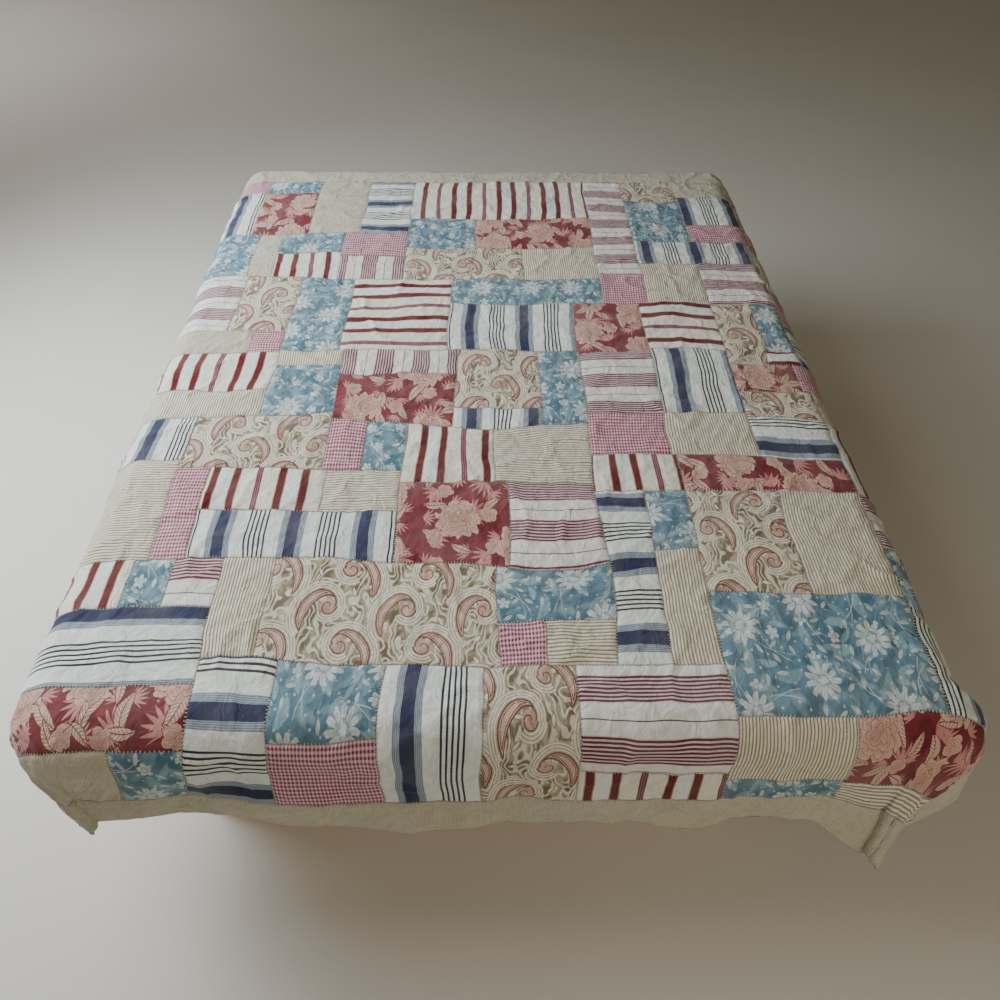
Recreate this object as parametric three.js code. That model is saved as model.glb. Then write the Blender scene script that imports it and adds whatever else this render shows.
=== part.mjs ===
// A patchwork duvet cover spread over a plain bed.
// Millimetres, +Z up. X runs across the bed, and the foot is at -Y.
// The origin is on the floor, under the bed's middle.
import * as THREE from 'three';

// Bed
const MATTRESS = { width: 1500, length: 2000, height: 250, corner: 102, edge: 58, rounding: 5 };
const PLATFORM = { width: 1380, length: 1860, height: 40, corner: 60, edge: 6, rounding: 2 };
const PLINTH = { width: 1180, length: 1680, height: 260, corner: 30, edge: 4, rounding: 2 };
const GAP = 0.3;

// Cover, cut flat
const COVER = { width: 1880, length: 2200, border: 75 };
const CLOTH = 1.5;
const LAYER_GAP = 0.5;
const SEAM_GAP = 1.2;

// How the cover lies: its inner face clears the mattress by these
const TOP_CLEAR = 2.5;
const SIDE_CLEAR = 8;
const HEAD_SETBACK = 15;
const BEND_RADIUS = 66;
const FLARE = 0.03;
const ASKEW = THREE.MathUtils.degToRad(0.7);
const LOOSEN = 60;

// Heights and places that follow from the sizes above
const BED_TOP = PLINTH.height + PLATFORM.height + MATTRESS.height;
const COVER_TOP = BED_TOP + TOP_CLEAR;
const HANG_X = MATTRESS.width / 2 + SIDE_CLEAR;
const HANG_FOOT = MATTRESS.length / 2 + SIDE_CLEAR;
const HEAD_Y = MATTRESS.length / 2 - HEAD_SETBACK;
const CORNER_RADIUS = MATTRESS.corner + SIDE_CLEAR;
const CORNER_X = HANG_X - CORNER_RADIUS;
const CORNER_FOOT = HANG_FOOT - CORNER_RADIUS;
const FLAT_REACH = CORNER_RADIUS - BEND_RADIUS;
const BEND_LENGTH = (BEND_RADIUS * Math.PI) / 2;
const HANG_START = FLAT_REACH + BEND_LENGTH;

// Soft swells of the bedding under the cover: centre, reach and height
const SWELLS = [
  { x: -430, y: 560, reachX: 260, reachY: 330, height: 7 },
  { x: 180, y: 700, reachX: 330, reachY: 240, height: 5 },
  { x: 470, y: 180, reachX: 240, reachY: 380, height: 8 },
  { x: -120, y: -40, reachX: 300, reachY: 260, height: 6 },
  { x: -500, y: -420, reachX: 240, reachY: 300, height: 9 },
  { x: 120, y: -620, reachX: 340, reachY: 220, height: 7 },
  { x: 520, y: -640, reachX: 220, reachY: 240, height: 8 },
];

// Waves of the hanging cloth: centre and half width along the edge, how far the hem stands out,
// and the share of the hanging length that the wave takes up
const FOOT_WAVES = [
  { at: -648, half: 420, out: 15, take: 0.37 },
  { at: -450, half: 195, out: 0, take: 0.26 },
  { at: -330, half: 110, out: 16, take: 0.02 },
  { at: -120, half: 150, out: 20, take: 0.02 },
  { at: 130, half: 140, out: 10, take: 0.02 },
  { at: 330, half: 110, out: 18, take: 0.0 },
  { at: 505, half: 50, out: 4, take: 0.08 },
  { at: 648, half: 125, out: 20, take: -0.59 },
];
const LEFT_WAVES = [
  { at: 800, half: 150, out: 30 },
  { at: 480, half: 170, out: 44 },
  { at: 150, half: 160, out: 28 },
  { at: -190, half: 190, out: 48 },
  { at: -560, half: 170, out: 36 },
];
const RIGHT_WAVES = [
  { at: 840, half: 120, out: 36 },
  { at: 560, half: 180, out: 30 },
  { at: 210, half: 170, out: 50 },
  { at: -120, half: 150, out: 26 },
  { at: -460, half: 200, out: 46 },
];

// Folds of the hanging foot corners: angle from the side towards the foot and half width in degrees,
// how far out to the side and to the foot a point stands for each unit that it hangs, how much
// rounder the bend above the fold is, and the share of the hanging length that the fold takes up
const LEFT_CORNER = [
  { at: 15, half: 15, side: 0.0, foot: 0.0, puff: 6, take: 0.0 },
  { at: 30, half: 15, side: -0.16, foot: 0.1, puff: 10, take: 0.16 },
  { at: 45, half: 15, side: -0.46, foot: 0.26, puff: 14, take: 0.5 },
  { at: 60, half: 15, side: -0.43, foot: 0.26, puff: 8, take: 0.4 },
  { at: 75, half: 15, side: -0.18, foot: 0.08, puff: 0, take: 0.44 },
  { at: 90, half: 15, side: 0.0, foot: 0.12, puff: 0, take: 0.37 },
];
const RIGHT_CORNER = [
  { at: 15, half: 15, side: 0.04, foot: 0.0, puff: 52, take: -0.1 },
  { at: 30, half: 15, side: 0.02, foot: 0.14, puff: 52, take: -0.05 },
  { at: 45, half: 15, side: -0.48, foot: 0.17, puff: 34, take: 0.03 },
  { at: 60, half: 15, side: -0.38, foot: 0.39, puff: 10, take: -0.23 },
  { at: 75, half: 15, side: -0.21, foot: 0.35, puff: 0, take: -0.39 },
  { at: 90, half: 15, side: 0.0, foot: 0.16, puff: 0, take: -0.59 },
];

// Grid lines across (from the middle out) and along (from the head hem), as [end, steps]
const ACROSS = [
  [CORNER_X, 6],
  [CORNER_X + FLAT_REACH, 1],
  [CORNER_X + HANG_START, 5],
  [COVER.width / 2, 8],
];
const ALONG_TOP = [
  [HEAD_Y + CORNER_FOOT, 14],
  [HEAD_Y + CORNER_FOOT + FLAT_REACH, 1],
  [HEAD_Y + CORNER_FOOT + HANG_START, 5],
];
const PANEL_END_STEPS = 3;
const FOOT_BORDER_STEPS = 2;

const MATERIALS = {
  patchwork: { color: 0xb9a9a6, roughness: 0.9 },
  plainCloth: { color: 0xd8d0bd, roughness: 0.92 },
  mattress: { color: 0xe9e6de, roughness: 0.9 },
  wood: { color: 0xc9b18c, roughness: 0.6 },
};

// A soft bump, 1 at the middle and 0 from one half width away.
function bump(distance) {
  return Math.abs(distance) < 1 ? Math.cos((distance * Math.PI) / 2) ** 2 : 0;
}

// One column of a table of waves, summed over the waves near a place along the edge.
function waveAt(waves, column, place) {
  return waves.reduce((sum, wave) => sum + wave[column] * bump((place - wave.at) / wave.half), 0);
}

function swellAt(x, y) {
  const lift = (swell) => {
    const across = (x - swell.x) / swell.reachX;
    const along = (y - swell.y) / swell.reachY;
    return swell.height * Math.exp(-(across * across + along * along));
  };
  return SWELLS.reduce((sum, swell) => sum + lift(swell), 0);
}

// How a strip that runs out over the edge lies: its reach outwards, its drop and the length that hangs.
function overEdge(reach, radius = BEND_RADIUS) {
  if (reach <= FLAT_REACH) return { out: reach, drop: 0, hang: 0 };
  const angle = Math.min((reach - FLAT_REACH) / radius, Math.PI / 2);
  return {
    out: FLAT_REACH + radius * Math.sin(angle),
    drop: radius * (1 - Math.cos(angle)),
    hang: Math.max(reach - FLAT_REACH - (radius * Math.PI) / 2, 0),
  };
}

// The length that hangs, eased in below the bend so that folds start softly.
function loosened(hang) {
  return (hang * hang) / (hang + LOOSEN);
}

// How far a hanging length reaches down when its foot stands out sideways.
function hangDrop(hang, out) {
  return Math.sqrt(Math.max(hang * hang - out * out, 0));
}

// Where the cut cloth's point (across from the middle, along from the head hem) comes to lie.
// The cover lies a little askew, turned about its own middle.
function draped(cutAcross, cutAlong) {
  const middle = COVER.length / 2;
  const across = cutAcross * Math.cos(ASKEW) - (cutAlong - middle) * Math.sin(ASKEW);
  const along = middle + cutAcross * Math.sin(ASKEW) + (cutAlong - middle) * Math.cos(ASKEW);
  const side = Math.abs(across) - CORNER_X;
  const foot = along - (HEAD_Y + CORNER_FOOT);
  const y = HEAD_Y - along;
  if (side > 0 && foot > 0) return drapedCorner(Math.sign(across), side, foot);
  if (side > 0) return drapedSide(Math.sign(across), side, y);
  if (foot > 0) return drapedFoot(across, foot);
  return new THREE.Vector3(across, y, COVER_TOP + swellAt(across, y));
}

function drapedSide(sign, side, y) {
  const edge = overEdge(side);
  const fullHang = COVER.width / 2 - CORNER_X - HANG_START;
  const free = loosened(edge.hang);
  const stand = waveAt(sign < 0 ? LEFT_WAVES : RIGHT_WAVES, 'out', y) / loosened(fullHang);
  const out = (FLARE + stand) * free;
  const x = sign * (CORNER_X + edge.out + out);
  const z = COVER_TOP + swellAt(x, y) - edge.drop - hangDrop(edge.hang, out);
  return new THREE.Vector3(x, y, z);
}

function drapedFoot(x, foot) {
  const edge = overEdge(foot);
  const fullHang = COVER.length - HEAD_Y - CORNER_FOOT - HANG_START;
  const free = loosened(edge.hang);
  const out = (FLARE + waveAt(FOOT_WAVES, 'out', x) / loosened(fullHang)) * free;
  const y = -(CORNER_FOOT + edge.out + out);
  const taken = waveAt(FOOT_WAVES, 'take', x) * free;
  const z = COVER_TOP + swellAt(x, y) - edge.drop - hangDrop(edge.hang, out) + taken;
  return new THREE.Vector3(x, y, z);
}

// At a foot corner the cloth hangs from a round corner, each ray of it leaning out as the folds say.
function drapedCorner(sign, side, foot) {
  const reach = Math.hypot(side, foot);
  const angle = Math.atan2(foot, side);
  const degrees = THREE.MathUtils.radToDeg(angle);
  const folds = sign < 0 ? LEFT_CORNER : RIGHT_CORNER;
  const edge = overEdge(reach, BEND_RADIUS + waveAt(folds, 'puff', degrees));
  const free = loosened(edge.hang);
  const outSide = (FLARE * Math.cos(angle) + waveAt(folds, 'side', degrees)) * free;
  const outFoot = (FLARE * Math.sin(angle) + waveAt(folds, 'foot', degrees)) * free;
  const x = sign * (CORNER_X + edge.out * Math.cos(angle) + outSide);
  const y = -(CORNER_FOOT + edge.out * Math.sin(angle) + outFoot);
  const taken = waveAt(folds, 'take', degrees) * free;
  const fall = edge.drop + hangDrop(edge.hang, Math.hypot(outSide, outFoot)) - taken;
  return new THREE.Vector3(x, y, COVER_TOP + swellAt(x, y) - fall);
}

function linesFrom(start, stretches) {
  const lines = [start];
  for (const [end, steps] of stretches) {
    const from = lines[lines.length - 1];
    for (let step = 1; step <= steps; step += 1) lines.push(from + ((end - from) * step) / steps);
  }
  return lines;
}

// The inner face of the whole cover on a grid of cut-cloth lines, with a normal at each point.
// The two lines of a seam share theirs, so that the cloths on its sides stay apart.
function drapedGrid(acrossLines, alongLines) {
  const columns = acrossLines.length;
  const points = alongLines.flatMap((along) => acrossLines.map((across) => draped(across, along)));
  const indices = [];
  for (let row = 0; row + 1 < alongLines.length; row += 1) {
    for (let column = 0; column + 1 < columns; column += 1) {
      const corner = row * columns + column;
      indices.push(corner, corner + columns, corner + columns + 1);
      indices.push(corner, corner + columns + 1, corner + 1);
    }
  }
  const surface = new THREE.BufferGeometry().setFromPoints(points);
  surface.setIndex(indices);
  surface.computeVertexNormals();
  const slopes = surface.getAttribute('normal');
  const beforeSeam = (row) => row > 0 && alongLines[row] - alongLines[row - 1] < 2 * SEAM_GAP;
  const normals = points.map((_, index) => {
    const shared = beforeSeam(Math.floor(index / columns)) ? index - columns : index;
    return new THREE.Vector3().fromBufferAttribute(slopes, shared);
  });
  return { columns, alongLines, points, normals };
}

// A closed sheet of cloth on some of the grid's lines, between two heights over the inner face.
function sheetGeometry(grid, lines, low, high) {
  const { columns } = grid;
  const rows = lines.length;
  const positions = [];
  for (const height of [low, high]) {
    for (const line of lines) {
      const first = grid.alongLines.indexOf(line) * columns;
      for (let index = first; index < first + columns; index += 1) {
        const point = grid.points[index].clone().addScaledVector(grid.normals[index], height);
        positions.push(...point.toArray());
      }
    }
  }
  const under = (column, row) => row * columns + column;
  const over = (column, row) => rows * columns + row * columns + column;
  const indices = [];
  const quad = (a, b, c, d) => indices.push(a, b, c, a, c, d);
  for (let row = 0; row + 1 < rows; row += 1) {
    for (let column = 0; column + 1 < columns; column += 1) {
      quad(over(column, row), over(column, row + 1), over(column + 1, row + 1), over(column + 1, row));
      quad(under(column, row), under(column + 1, row), under(column + 1, row + 1), under(column, row + 1));
    }
  }
  for (let column = 0; column + 1 < columns; column += 1) {
    const last = rows - 1;
    quad(under(column, 0), over(column, 0), over(column + 1, 0), under(column + 1, 0));
    quad(under(column + 1, last), over(column + 1, last), over(column, last), under(column, last));
  }
  for (let row = 0; row + 1 < rows; row += 1) {
    const last = columns - 1;
    quad(under(0, row + 1), over(0, row + 1), over(0, row), under(0, row));
    quad(under(last, row), over(last, row), over(last, row + 1), under(last, row + 1));
  }
  const geometry = new THREE.BufferGeometry();
  geometry.setAttribute('position', new THREE.Float32BufferAttribute(positions, 3));
  geometry.setIndex(indices);
  geometry.computeVertexNormals();
  return geometry;
}

// A block with round corners in plan and rounded top and bottom edges, standing on z = 0.
function roundedBlock({ width, length, height, corner, edge, rounding }) {
  const outline = new THREE.Shape();
  const x = width / 2 - corner;
  const y = length / 2 - corner;
  outline.absarc(x, y, corner, 0, Math.PI / 2);
  outline.absarc(-x, y, corner, Math.PI / 2, Math.PI);
  outline.absarc(-x, -y, corner, Math.PI, Math.PI * 1.5);
  outline.absarc(x, -y, corner, Math.PI * 1.5, Math.PI * 2);
  const geometry = new THREE.ExtrudeGeometry(outline, {
    depth: height - 2 * edge,
    curveSegments: rounding,
    bevelEnabled: true,
    bevelThickness: edge,
    bevelSize: edge,
    bevelOffset: -edge,
    bevelSegments: rounding,
  });
  return geometry.translate(0, 0, edge);
}

function piece(name, geometry, look) {
  const mesh = new THREE.Mesh(geometry, new THREE.MeshStandardMaterial({ ...look, metalness: 0 }));
  mesh.name = name;
  return mesh;
}

// A block that lies on the one below it, with the gap taken from its own height.
function stacked(name, block, below, look) {
  const mesh = piece(name, roundedBlock({ ...block, height: block.height - GAP }), look);
  mesh.position.z = below + GAP;
  return mesh;
}

function makeBed() {
  const bed = new THREE.Group();
  const plinth = piece('bed_plinth', roundedBlock(PLINTH), MATERIALS.wood);
  const platform = stacked('bed_platform', PLATFORM, PLINTH.height, MATERIALS.wood);
  const slab = PLINTH.height + PLATFORM.height;
  const mattress = stacked('mattress', MATTRESS, slab, MATERIALS.mattress);
  bed.add(plinth, platform, mattress);
  return bed;
}

function makeCover() {
  const cover = new THREE.Group();
  const outward = linesFrom(0, ACROSS);
  const across = [...outward.slice(1).reverse().map((line) => -line), ...outward];
  const headSeam = COVER.border;
  const footSeam = COVER.length - COVER.border;
  const headLines = [0, headSeam - SEAM_GAP / 2];
  const panelLines = linesFrom(headSeam + SEAM_GAP / 2, [
    ...ALONG_TOP,
    [footSeam - SEAM_GAP / 2, PANEL_END_STEPS],
  ]);
  const footLines = linesFrom(footSeam + SEAM_GAP / 2, [[COVER.length, FOOT_BORDER_STEPS]]);
  const allLines = [...headLines, ...panelLines, ...footLines];
  const backLines = allLines.filter((line) => line !== headLines[1] && line !== footLines[0]);
  const grid = drapedGrid(across, allLines);
  const frontLow = CLOTH + LAYER_GAP;
  const frontHigh = frontLow + CLOTH;
  const strip = (name, lines, look) => piece(name, sheetGeometry(grid, lines, frontLow, frontHigh), look);
  cover.add(
    piece('back_panel', sheetGeometry(grid, backLines, 0, CLOTH), MATERIALS.plainCloth),
    strip('patchwork_front', panelLines, MATERIALS.patchwork),
    strip('head_border', headLines, MATERIALS.plainCloth),
    strip('foot_border', footLines, MATERIALS.plainCloth),
  );
  return cover;
}

const bedWithCover = new THREE.Group();
bedWithCover.add(makeBed(), makeCover());

export default bedWithCover;
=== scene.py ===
"""A patchwork duvet cover spread over a plain bed.

The cover is worked out on the flat cut cloth, in metres across from its middle (s) and along from its
head hem (t). Every patch, band, seam and stitch is a grid on that cloth, and one drape formula lays
them all over the bed.
"""
from __future__ import annotations

import logging
from dataclasses import dataclass, field
from enum import Enum
from typing import Sequence

import bpy
import numpy as np
from mathutils import Matrix

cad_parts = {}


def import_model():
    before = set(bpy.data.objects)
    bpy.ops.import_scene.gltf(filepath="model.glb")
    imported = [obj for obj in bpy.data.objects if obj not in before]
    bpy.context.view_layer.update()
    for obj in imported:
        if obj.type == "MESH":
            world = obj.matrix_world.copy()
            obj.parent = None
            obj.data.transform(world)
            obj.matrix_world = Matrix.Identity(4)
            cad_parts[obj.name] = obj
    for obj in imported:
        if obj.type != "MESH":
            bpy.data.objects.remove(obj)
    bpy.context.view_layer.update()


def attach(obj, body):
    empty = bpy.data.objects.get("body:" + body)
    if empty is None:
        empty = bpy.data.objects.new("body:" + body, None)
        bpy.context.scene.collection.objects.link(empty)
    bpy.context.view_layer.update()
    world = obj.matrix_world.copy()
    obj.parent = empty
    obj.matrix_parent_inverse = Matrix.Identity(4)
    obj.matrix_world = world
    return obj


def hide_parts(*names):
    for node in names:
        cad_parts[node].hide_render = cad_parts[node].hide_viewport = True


LOG = logging.getLogger("cover")
BODY = "root"
MM = 0.001
Array = np.ndarray
Colour = tuple[float, float, float]
Bands = tuple[tuple[float, float, Colour], ...]
Place = tuple[float, float, float]
Socket = bpy.types.NodeSocket
Material = bpy.types.Material
Piece = bpy.types.Object


class Cloth(Enum):
    """The cloths that the front is pieced from."""

    BLUE = "blue_flower_cloth"
    ROSE = "rose_flower_cloth"
    PAISLEY = "paisley_cloth"
    GINGHAM = "gingham_cloth"
    NAVY = "navy_stripe_cloth"
    RED = "red_stripe_cloth"
    MAUVE = "mauve_stripe_cloth"
    TICKING = "cream_ticking_cloth"
    CREAM = "cream_plain_cloth"


class Run(Enum):
    """Which way a cloth's stripes run on the cover."""

    ALONG = "along"
    ACROSS = "across"


# Cover, in millimetres, as cut flat
COVER_WIDTH = 1880.0
COVER_LENGTH = 2200.0
BORDER = 75.0
CUT_ROUND = 80.0
CLOTH_THICK = 1.5
LAYER_GAP = 0.5

# Bed and drape, in millimetres
MATTRESS_WIDTH = 1500.0
MATTRESS_LENGTH = 2000.0
MATTRESS_LOW = 300.3
MATTRESS_TOP = 550.0
MATTRESS_CORNER = 102.0
TOP_CLEAR = 2.5
SIDE_CLEAR = 8.0
HEAD_SETBACK = 15.0
BEND_RADIUS = 66.0
LOOSEN = 60.0
FLARE = 0.03
ASKEW = np.radians(0.7)

COVER_TOP = MATTRESS_TOP + TOP_CLEAR
HEAD_Y = MATTRESS_LENGTH / 2 - HEAD_SETBACK
CORNER_RADIUS = MATTRESS_CORNER + SIDE_CLEAR
CORNER_X = MATTRESS_WIDTH / 2 + SIDE_CLEAR - CORNER_RADIUS
CORNER_FOOT = MATTRESS_LENGTH / 2 + SIDE_CLEAR - CORNER_RADIUS
FLAT_REACH = CORNER_RADIUS - BEND_RADIUS
HANG_START = FLAT_REACH + BEND_RADIUS * np.pi / 2

# Swells of the bedding: x, y, reach in x, reach in y, height
SWELLS = (
    (-430, 560, 260, 330, 7),
    (180, 700, 330, 240, 5),
    (470, 180, 240, 380, 8),
    (-120, -40, 300, 260, 6),
    (-500, -420, 240, 300, 9),
    (120, -620, 340, 220, 7),
    (520, -640, 220, 240, 8),
)
# Waves of the hanging foot: place, half width, how far the hem stands out, share of length taken up
FOOT_WAVES = (
    (-648, 420, 15, 0.37),
    (-450, 195, 0, 0.26),
    (-330, 110, 16, 0.02),
    (-120, 150, 20, 0.02),
    (130, 140, 10, 0.02),
    (330, 110, 18, 0.0),
    (505, 50, 4, 0.08),
    (648, 125, 20, -0.59),
)
# Waves of the hanging sides: place, half width, how far the hem stands out
LEFT_WAVES = ((800, 150, 30), (480, 170, 44), (150, 160, 28), (-190, 190, 48), (-560, 170, 36))
RIGHT_WAVES = ((840, 120, 36), (560, 180, 30), (210, 170, 50), (-120, 150, 26), (-460, 200, 46))
# Folds of the foot corners: degrees, half width, out to the side and to the foot, puff, taken up
LEFT_CORNER = (
    (15, 15, 0.0, 0.0, 6, 0.0),
    (30, 15, -0.16, 0.1, 10, 0.16),
    (45, 15, -0.46, 0.26, 14, 0.5),
    (60, 15, -0.43, 0.26, 8, 0.4),
    (75, 15, -0.18, 0.08, 0, 0.44),
    (90, 15, 0.0, 0.12, 0, 0.37),
)
RIGHT_CORNER = (
    (15, 15, 0.04, 0.0, 52, -0.1),
    (30, 15, 0.02, 0.14, 52, -0.05),
    (45, 15, -0.48, 0.17, 34, 0.03),
    (60, 15, -0.38, 0.39, 10, -0.23),
    (75, 15, -0.21, 0.35, 0, -0.39),
    (90, 15, 0.0, 0.16, 0, -0.59),
)
# Columns of the tables of waves and of folds
WAVE_OUT, WAVE_TAKEN = 2, 3
FOLD_SIDE, FOLD_FOOT, FOLD_PUFF, FOLD_TAKEN = 2, 3, 4, 5

# Patches of the front, in millimetres on the cut cloth: left, right, head, foot, cloth, run, pattern shift
BLUE, ROSE, PAISLEY, GINGHAM = Cloth.BLUE, Cloth.ROSE, Cloth.PAISLEY, Cloth.GINGHAM
NAVY, RED, MAUVE, TICKING, CREAM = Cloth.NAVY, Cloth.RED, Cloth.MAUVE, Cloth.TICKING, Cloth.CREAM
ALONG, ACROSS = Run.ALONG, Run.ACROSS
PATCHES = (
    (-800, -665, 75, 155, GINGHAM, ALONG, 0),
    (-665, -505, 75, 155, BLUE, ALONG, 40),
    (-800, -665, 155, 415, NAVY, ALONG, 60),
    (-665, -505, 155, 415, ROSE, ALONG, 90),
    (-505, -360, 75, 415, CREAM, ALONG, 0),
    (-360, -225, 75, 415, NAVY, ACROSS, 5),
    (-800, -635, 415, 655, BLUE, ALONG, 15),
    (-635, -570, 415, 655, CREAM, ALONG, 0),
    (-570, -395, 415, 525, BLUE, ACROSS, 70),
    (-570, -395, 525, 655, RED, ALONG, -12),
    (-395, -225, 415, 540, GINGHAM, ALONG, 0),
    (-395, -225, 540, 655, MAUVE, ALONG, 20),
    (-225, 287, 75, 325, RED, ALONG, 7),
    (-225, -35, 325, 490, BLUE, ALONG, 0),
    (-35, 287, 325, 490, ROSE, ALONG, 20),
    (-225, 90, 490, 655, PAISLEY, ALONG, 30),
    (90, 287, 490, 655, TICKING, ALONG, 0),
    (287, 400, 75, 630, MAUVE, ACROSS, 30),
    (287, 400, 630, 780, GINGHAM, ALONG, 0),
    (400, 560, 75, 205, PAISLEY, ALONG, 70),
    (560, 720, 75, 180, CREAM, ALONG, 0),
    (400, 560, 205, 460, BLUE, ALONG, 85),
    (560, 720, 180, 355, NAVY, ALONG, -12),
    (560, 720, 355, 460, GINGHAM, ALONG, 0),
    (400, 720, 460, 580, NAVY, ALONG, -28),
    (400, 553, 580, 780, TICKING, ALONG, 0),
    (553, 720, 580, 780, MAUVE, ACROSS, 10),
    (-800, -630, 655, 895, MAUVE, ACROSS, 45),
    (-630, -487, 655, 895, PAISLEY, ALONG, 50),
    (-800, -560, 895, 985, CREAM, ALONG, 0),
    (-560, -487, 895, 985, GINGHAM, ALONG, 0),
    (-800, -487, 985, 1135, RED, ALONG, 26),
    (-800, -487, 1135, 1228, TICKING, ALONG, 0),
    (-487, -345, 655, 978, BLUE, ALONG, 55),
    (-345, -97, 655, 978, RED, ACROSS, -30),
    (-97, 287, 655, 780, BLUE, ACROSS, 25),
    (-97, 210, 780, 978, NAVY, ALONG, -54),
    (210, 375, 780, 995, ROSE, ALONG, 60),
    (375, 553, 780, 978, RED, ACROSS, -8),
    (553, 650, 780, 1035, PAISLEY, ALONG, 20),
    (650, 720, 780, 978, BLUE, ALONG, 35),
    (650, 720, 978, 1035, RED, ACROSS, 0),
    (-487, -333, 978, 1040, TICKING, ALONG, 0),
    (-333, -75, 978, 1075, MAUVE, ALONG, 8),
    (-487, -333, 1040, 1228, BLUE, ALONG, 10),
    (-333, -75, 1075, 1252, ROSE, ALONG, -5),
    (-75, 115, 978, 1195, PAISLEY, ALONG, 90),
    (-75, 115, 1195, 1252, NAVY, ALONG, -40),
    (115, 210, 978, 1252, BLUE, ALONG, 75),
    (210, 375, 995, 1215, MAUVE, ACROSS, 14),
    (375, 553, 978, 1215, NAVY, ALONG, -53),
    (553, 700, 1035, 1140, ROSE, ACROSS, 35),
    (553, 720, 1140, 1230, PAISLEY, ALONG, 10),
    (-800, -612, 1228, 1368, NAVY, ALONG, -105),
    (-612, -333, 1228, 1396, PAISLEY, ALONG, 62),
    (-333, -255, 1252, 1396, GINGHAM, ALONG, 0),
    (-255, -170, 1252, 1396, BLUE, ACROSS, 5),
    (-170, 12, 1252, 1432, RED, ALONG, -36),
    (12, 210, 1252, 1432, TICKING, ACROSS, 0),
    (210, 375, 1215, 1350, GINGHAM, ALONG, 0),
    (375, 553, 1215, 1350, TICKING, ALONG, 0),
    (553, 720, 1230, 1350, NAVY, ACROSS, 58),
    (-800, -612, 1368, 1640, TICKING, ACROSS, 0),
    (-612, -545, 1396, 1640, GINGHAM, ALONG, 0),
    (-545, -322, 1396, 1512, RED, ALONG, -14),
    (-322, -170, 1396, 1512, TICKING, ACROSS, 0),
    (-545, -170, 1512, 1640, NAVY, ALONG, -54),
    (-170, 38, 1432, 1640, ROSE, ALONG, -40),
    (38, 210, 1432, 1640, MAUVE, ACROSS, -2),
    (210, 383, 1350, 1455, RED, ALONG, -42),
    (383, 720, 1350, 1455, ROSE, ALONG, 100),
    (210, 302, 1455, 1855, NAVY, ACROSS, -28),
    (302, 383, 1455, 1617, BLUE, ALONG, 65),
    (302, 383, 1617, 1855, TICKING, ALONG, 0),
    (383, 562, 1455, 1715, PAISLEY, ALONG, 25),
    (562, 720, 1455, 1715, TICKING, ALONG, 0),
    (-800, -632, 1640, 1740, RED, ALONG, -100),
    (-632, -562, 1640, 1740, BLUE, ALONG, 95),
    (-562, -475, 1640, 1740, MAUVE, ACROSS, 0),
    (-475, -380, 1640, 1855, TICKING, ALONG, 0),
    (-380, 18, 1640, 1855, PAISLEY, ALONG, 45),
    (18, 210, 1640, 1768, BLUE, ACROSS, 45),
    (18, 100, 1768, 1855, GINGHAM, ALONG, 0),
    (100, 210, 1768, 1855, TICKING, ACROSS, 0),
    (383, 720, 1715, 1944, BLUE, ALONG, 30),
    (-800, -475, 1740, 1897, NAVY, ACROSS, -12),
    (-800, -475, 1897, 1997, ROSE, ACROSS, 70),
    (-800, -575, 1997, 2125, CREAM, ALONG, 0),
    (-575, -475, 1997, 2125, BLUE, ALONG, 20),
    (-475, -335, 1855, 2125, NAVY, ACROSS, 64),
    (-335, -163, 1855, 1980, BLUE, ACROSS, 60),
    (-335, -163, 1980, 2125, GINGHAM, ALONG, 0),
    (-163, -8, 1855, 2125, NAVY, ALONG, -46),
    (-8, 145, 1855, 2125, PAISLEY, ALONG, 80),
    (145, 383, 1855, 2053, MAUVE, ACROSS, -16),
    (145, 383, 2053, 2125, RED, ALONG, -18),
    (383, 572, 1944, 2072, TICKING, ALONG, 0),
    (383, 572, 2072, 2125, BLUE, ACROSS, 80),
    (572, 860, 1944, 2078, ROSE, ALONG, 45),
    (572, 860, 2078, 2125, TICKING, ACROSS, 0),
    (860, 940, 1944, 2125, CREAM, ALONG, 35),
    (720, 940, 75, 350, PAISLEY, ALONG, 15),
    (720, 940, 350, 480, ROSE, ALONG, 75),
    (720, 940, 480, 690, TICKING, ALONG, 0),
    (720, 940, 690, 860, GINGHAM, ALONG, 0),
    (720, 940, 860, 1035, NAVY, ACROSS, 0),
    (700, 940, 1035, 1140, GINGHAM, ALONG, 0),
    (720, 940, 1140, 1230, CREAM, ALONG, 0),
    (720, 940, 1230, 1455, RED, ALONG, 15),
    (720, 940, 1455, 1600, MAUVE, ACROSS, 0),
    (720, 940, 1600, 1740, BLUE, ALONG, 5),
    (720, 940, 1740, 1944, NAVY, ALONG, -75),
    (-940, -800, 75, 240, PAISLEY, ALONG, 40),
    (-940, -800, 240, 470, TICKING, ALONG, 0),
    (-940, -800, 470, 620, ROSE, ALONG, 25),
    (-940, -800, 620, 800, GINGHAM, ALONG, 0),
    (-940, -800, 800, 1010, BLUE, ALONG, 30),
    (-940, -800, 1010, 1230, MAUVE, ALONG, 0),
    (-940, -800, 1230, 1450, PAISLEY, ALONG, 5),
    (-940, -800, 1450, 1690, BLUE, ALONG, 90),
    (-940, -800, 1690, 1830, GINGHAM, ALONG, 0),
    (-940, -800, 1830, 1960, PAISLEY, ALONG, 75),
    (-940, -800, 1960, 2125, CREAM, ALONG, 0),
)
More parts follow.
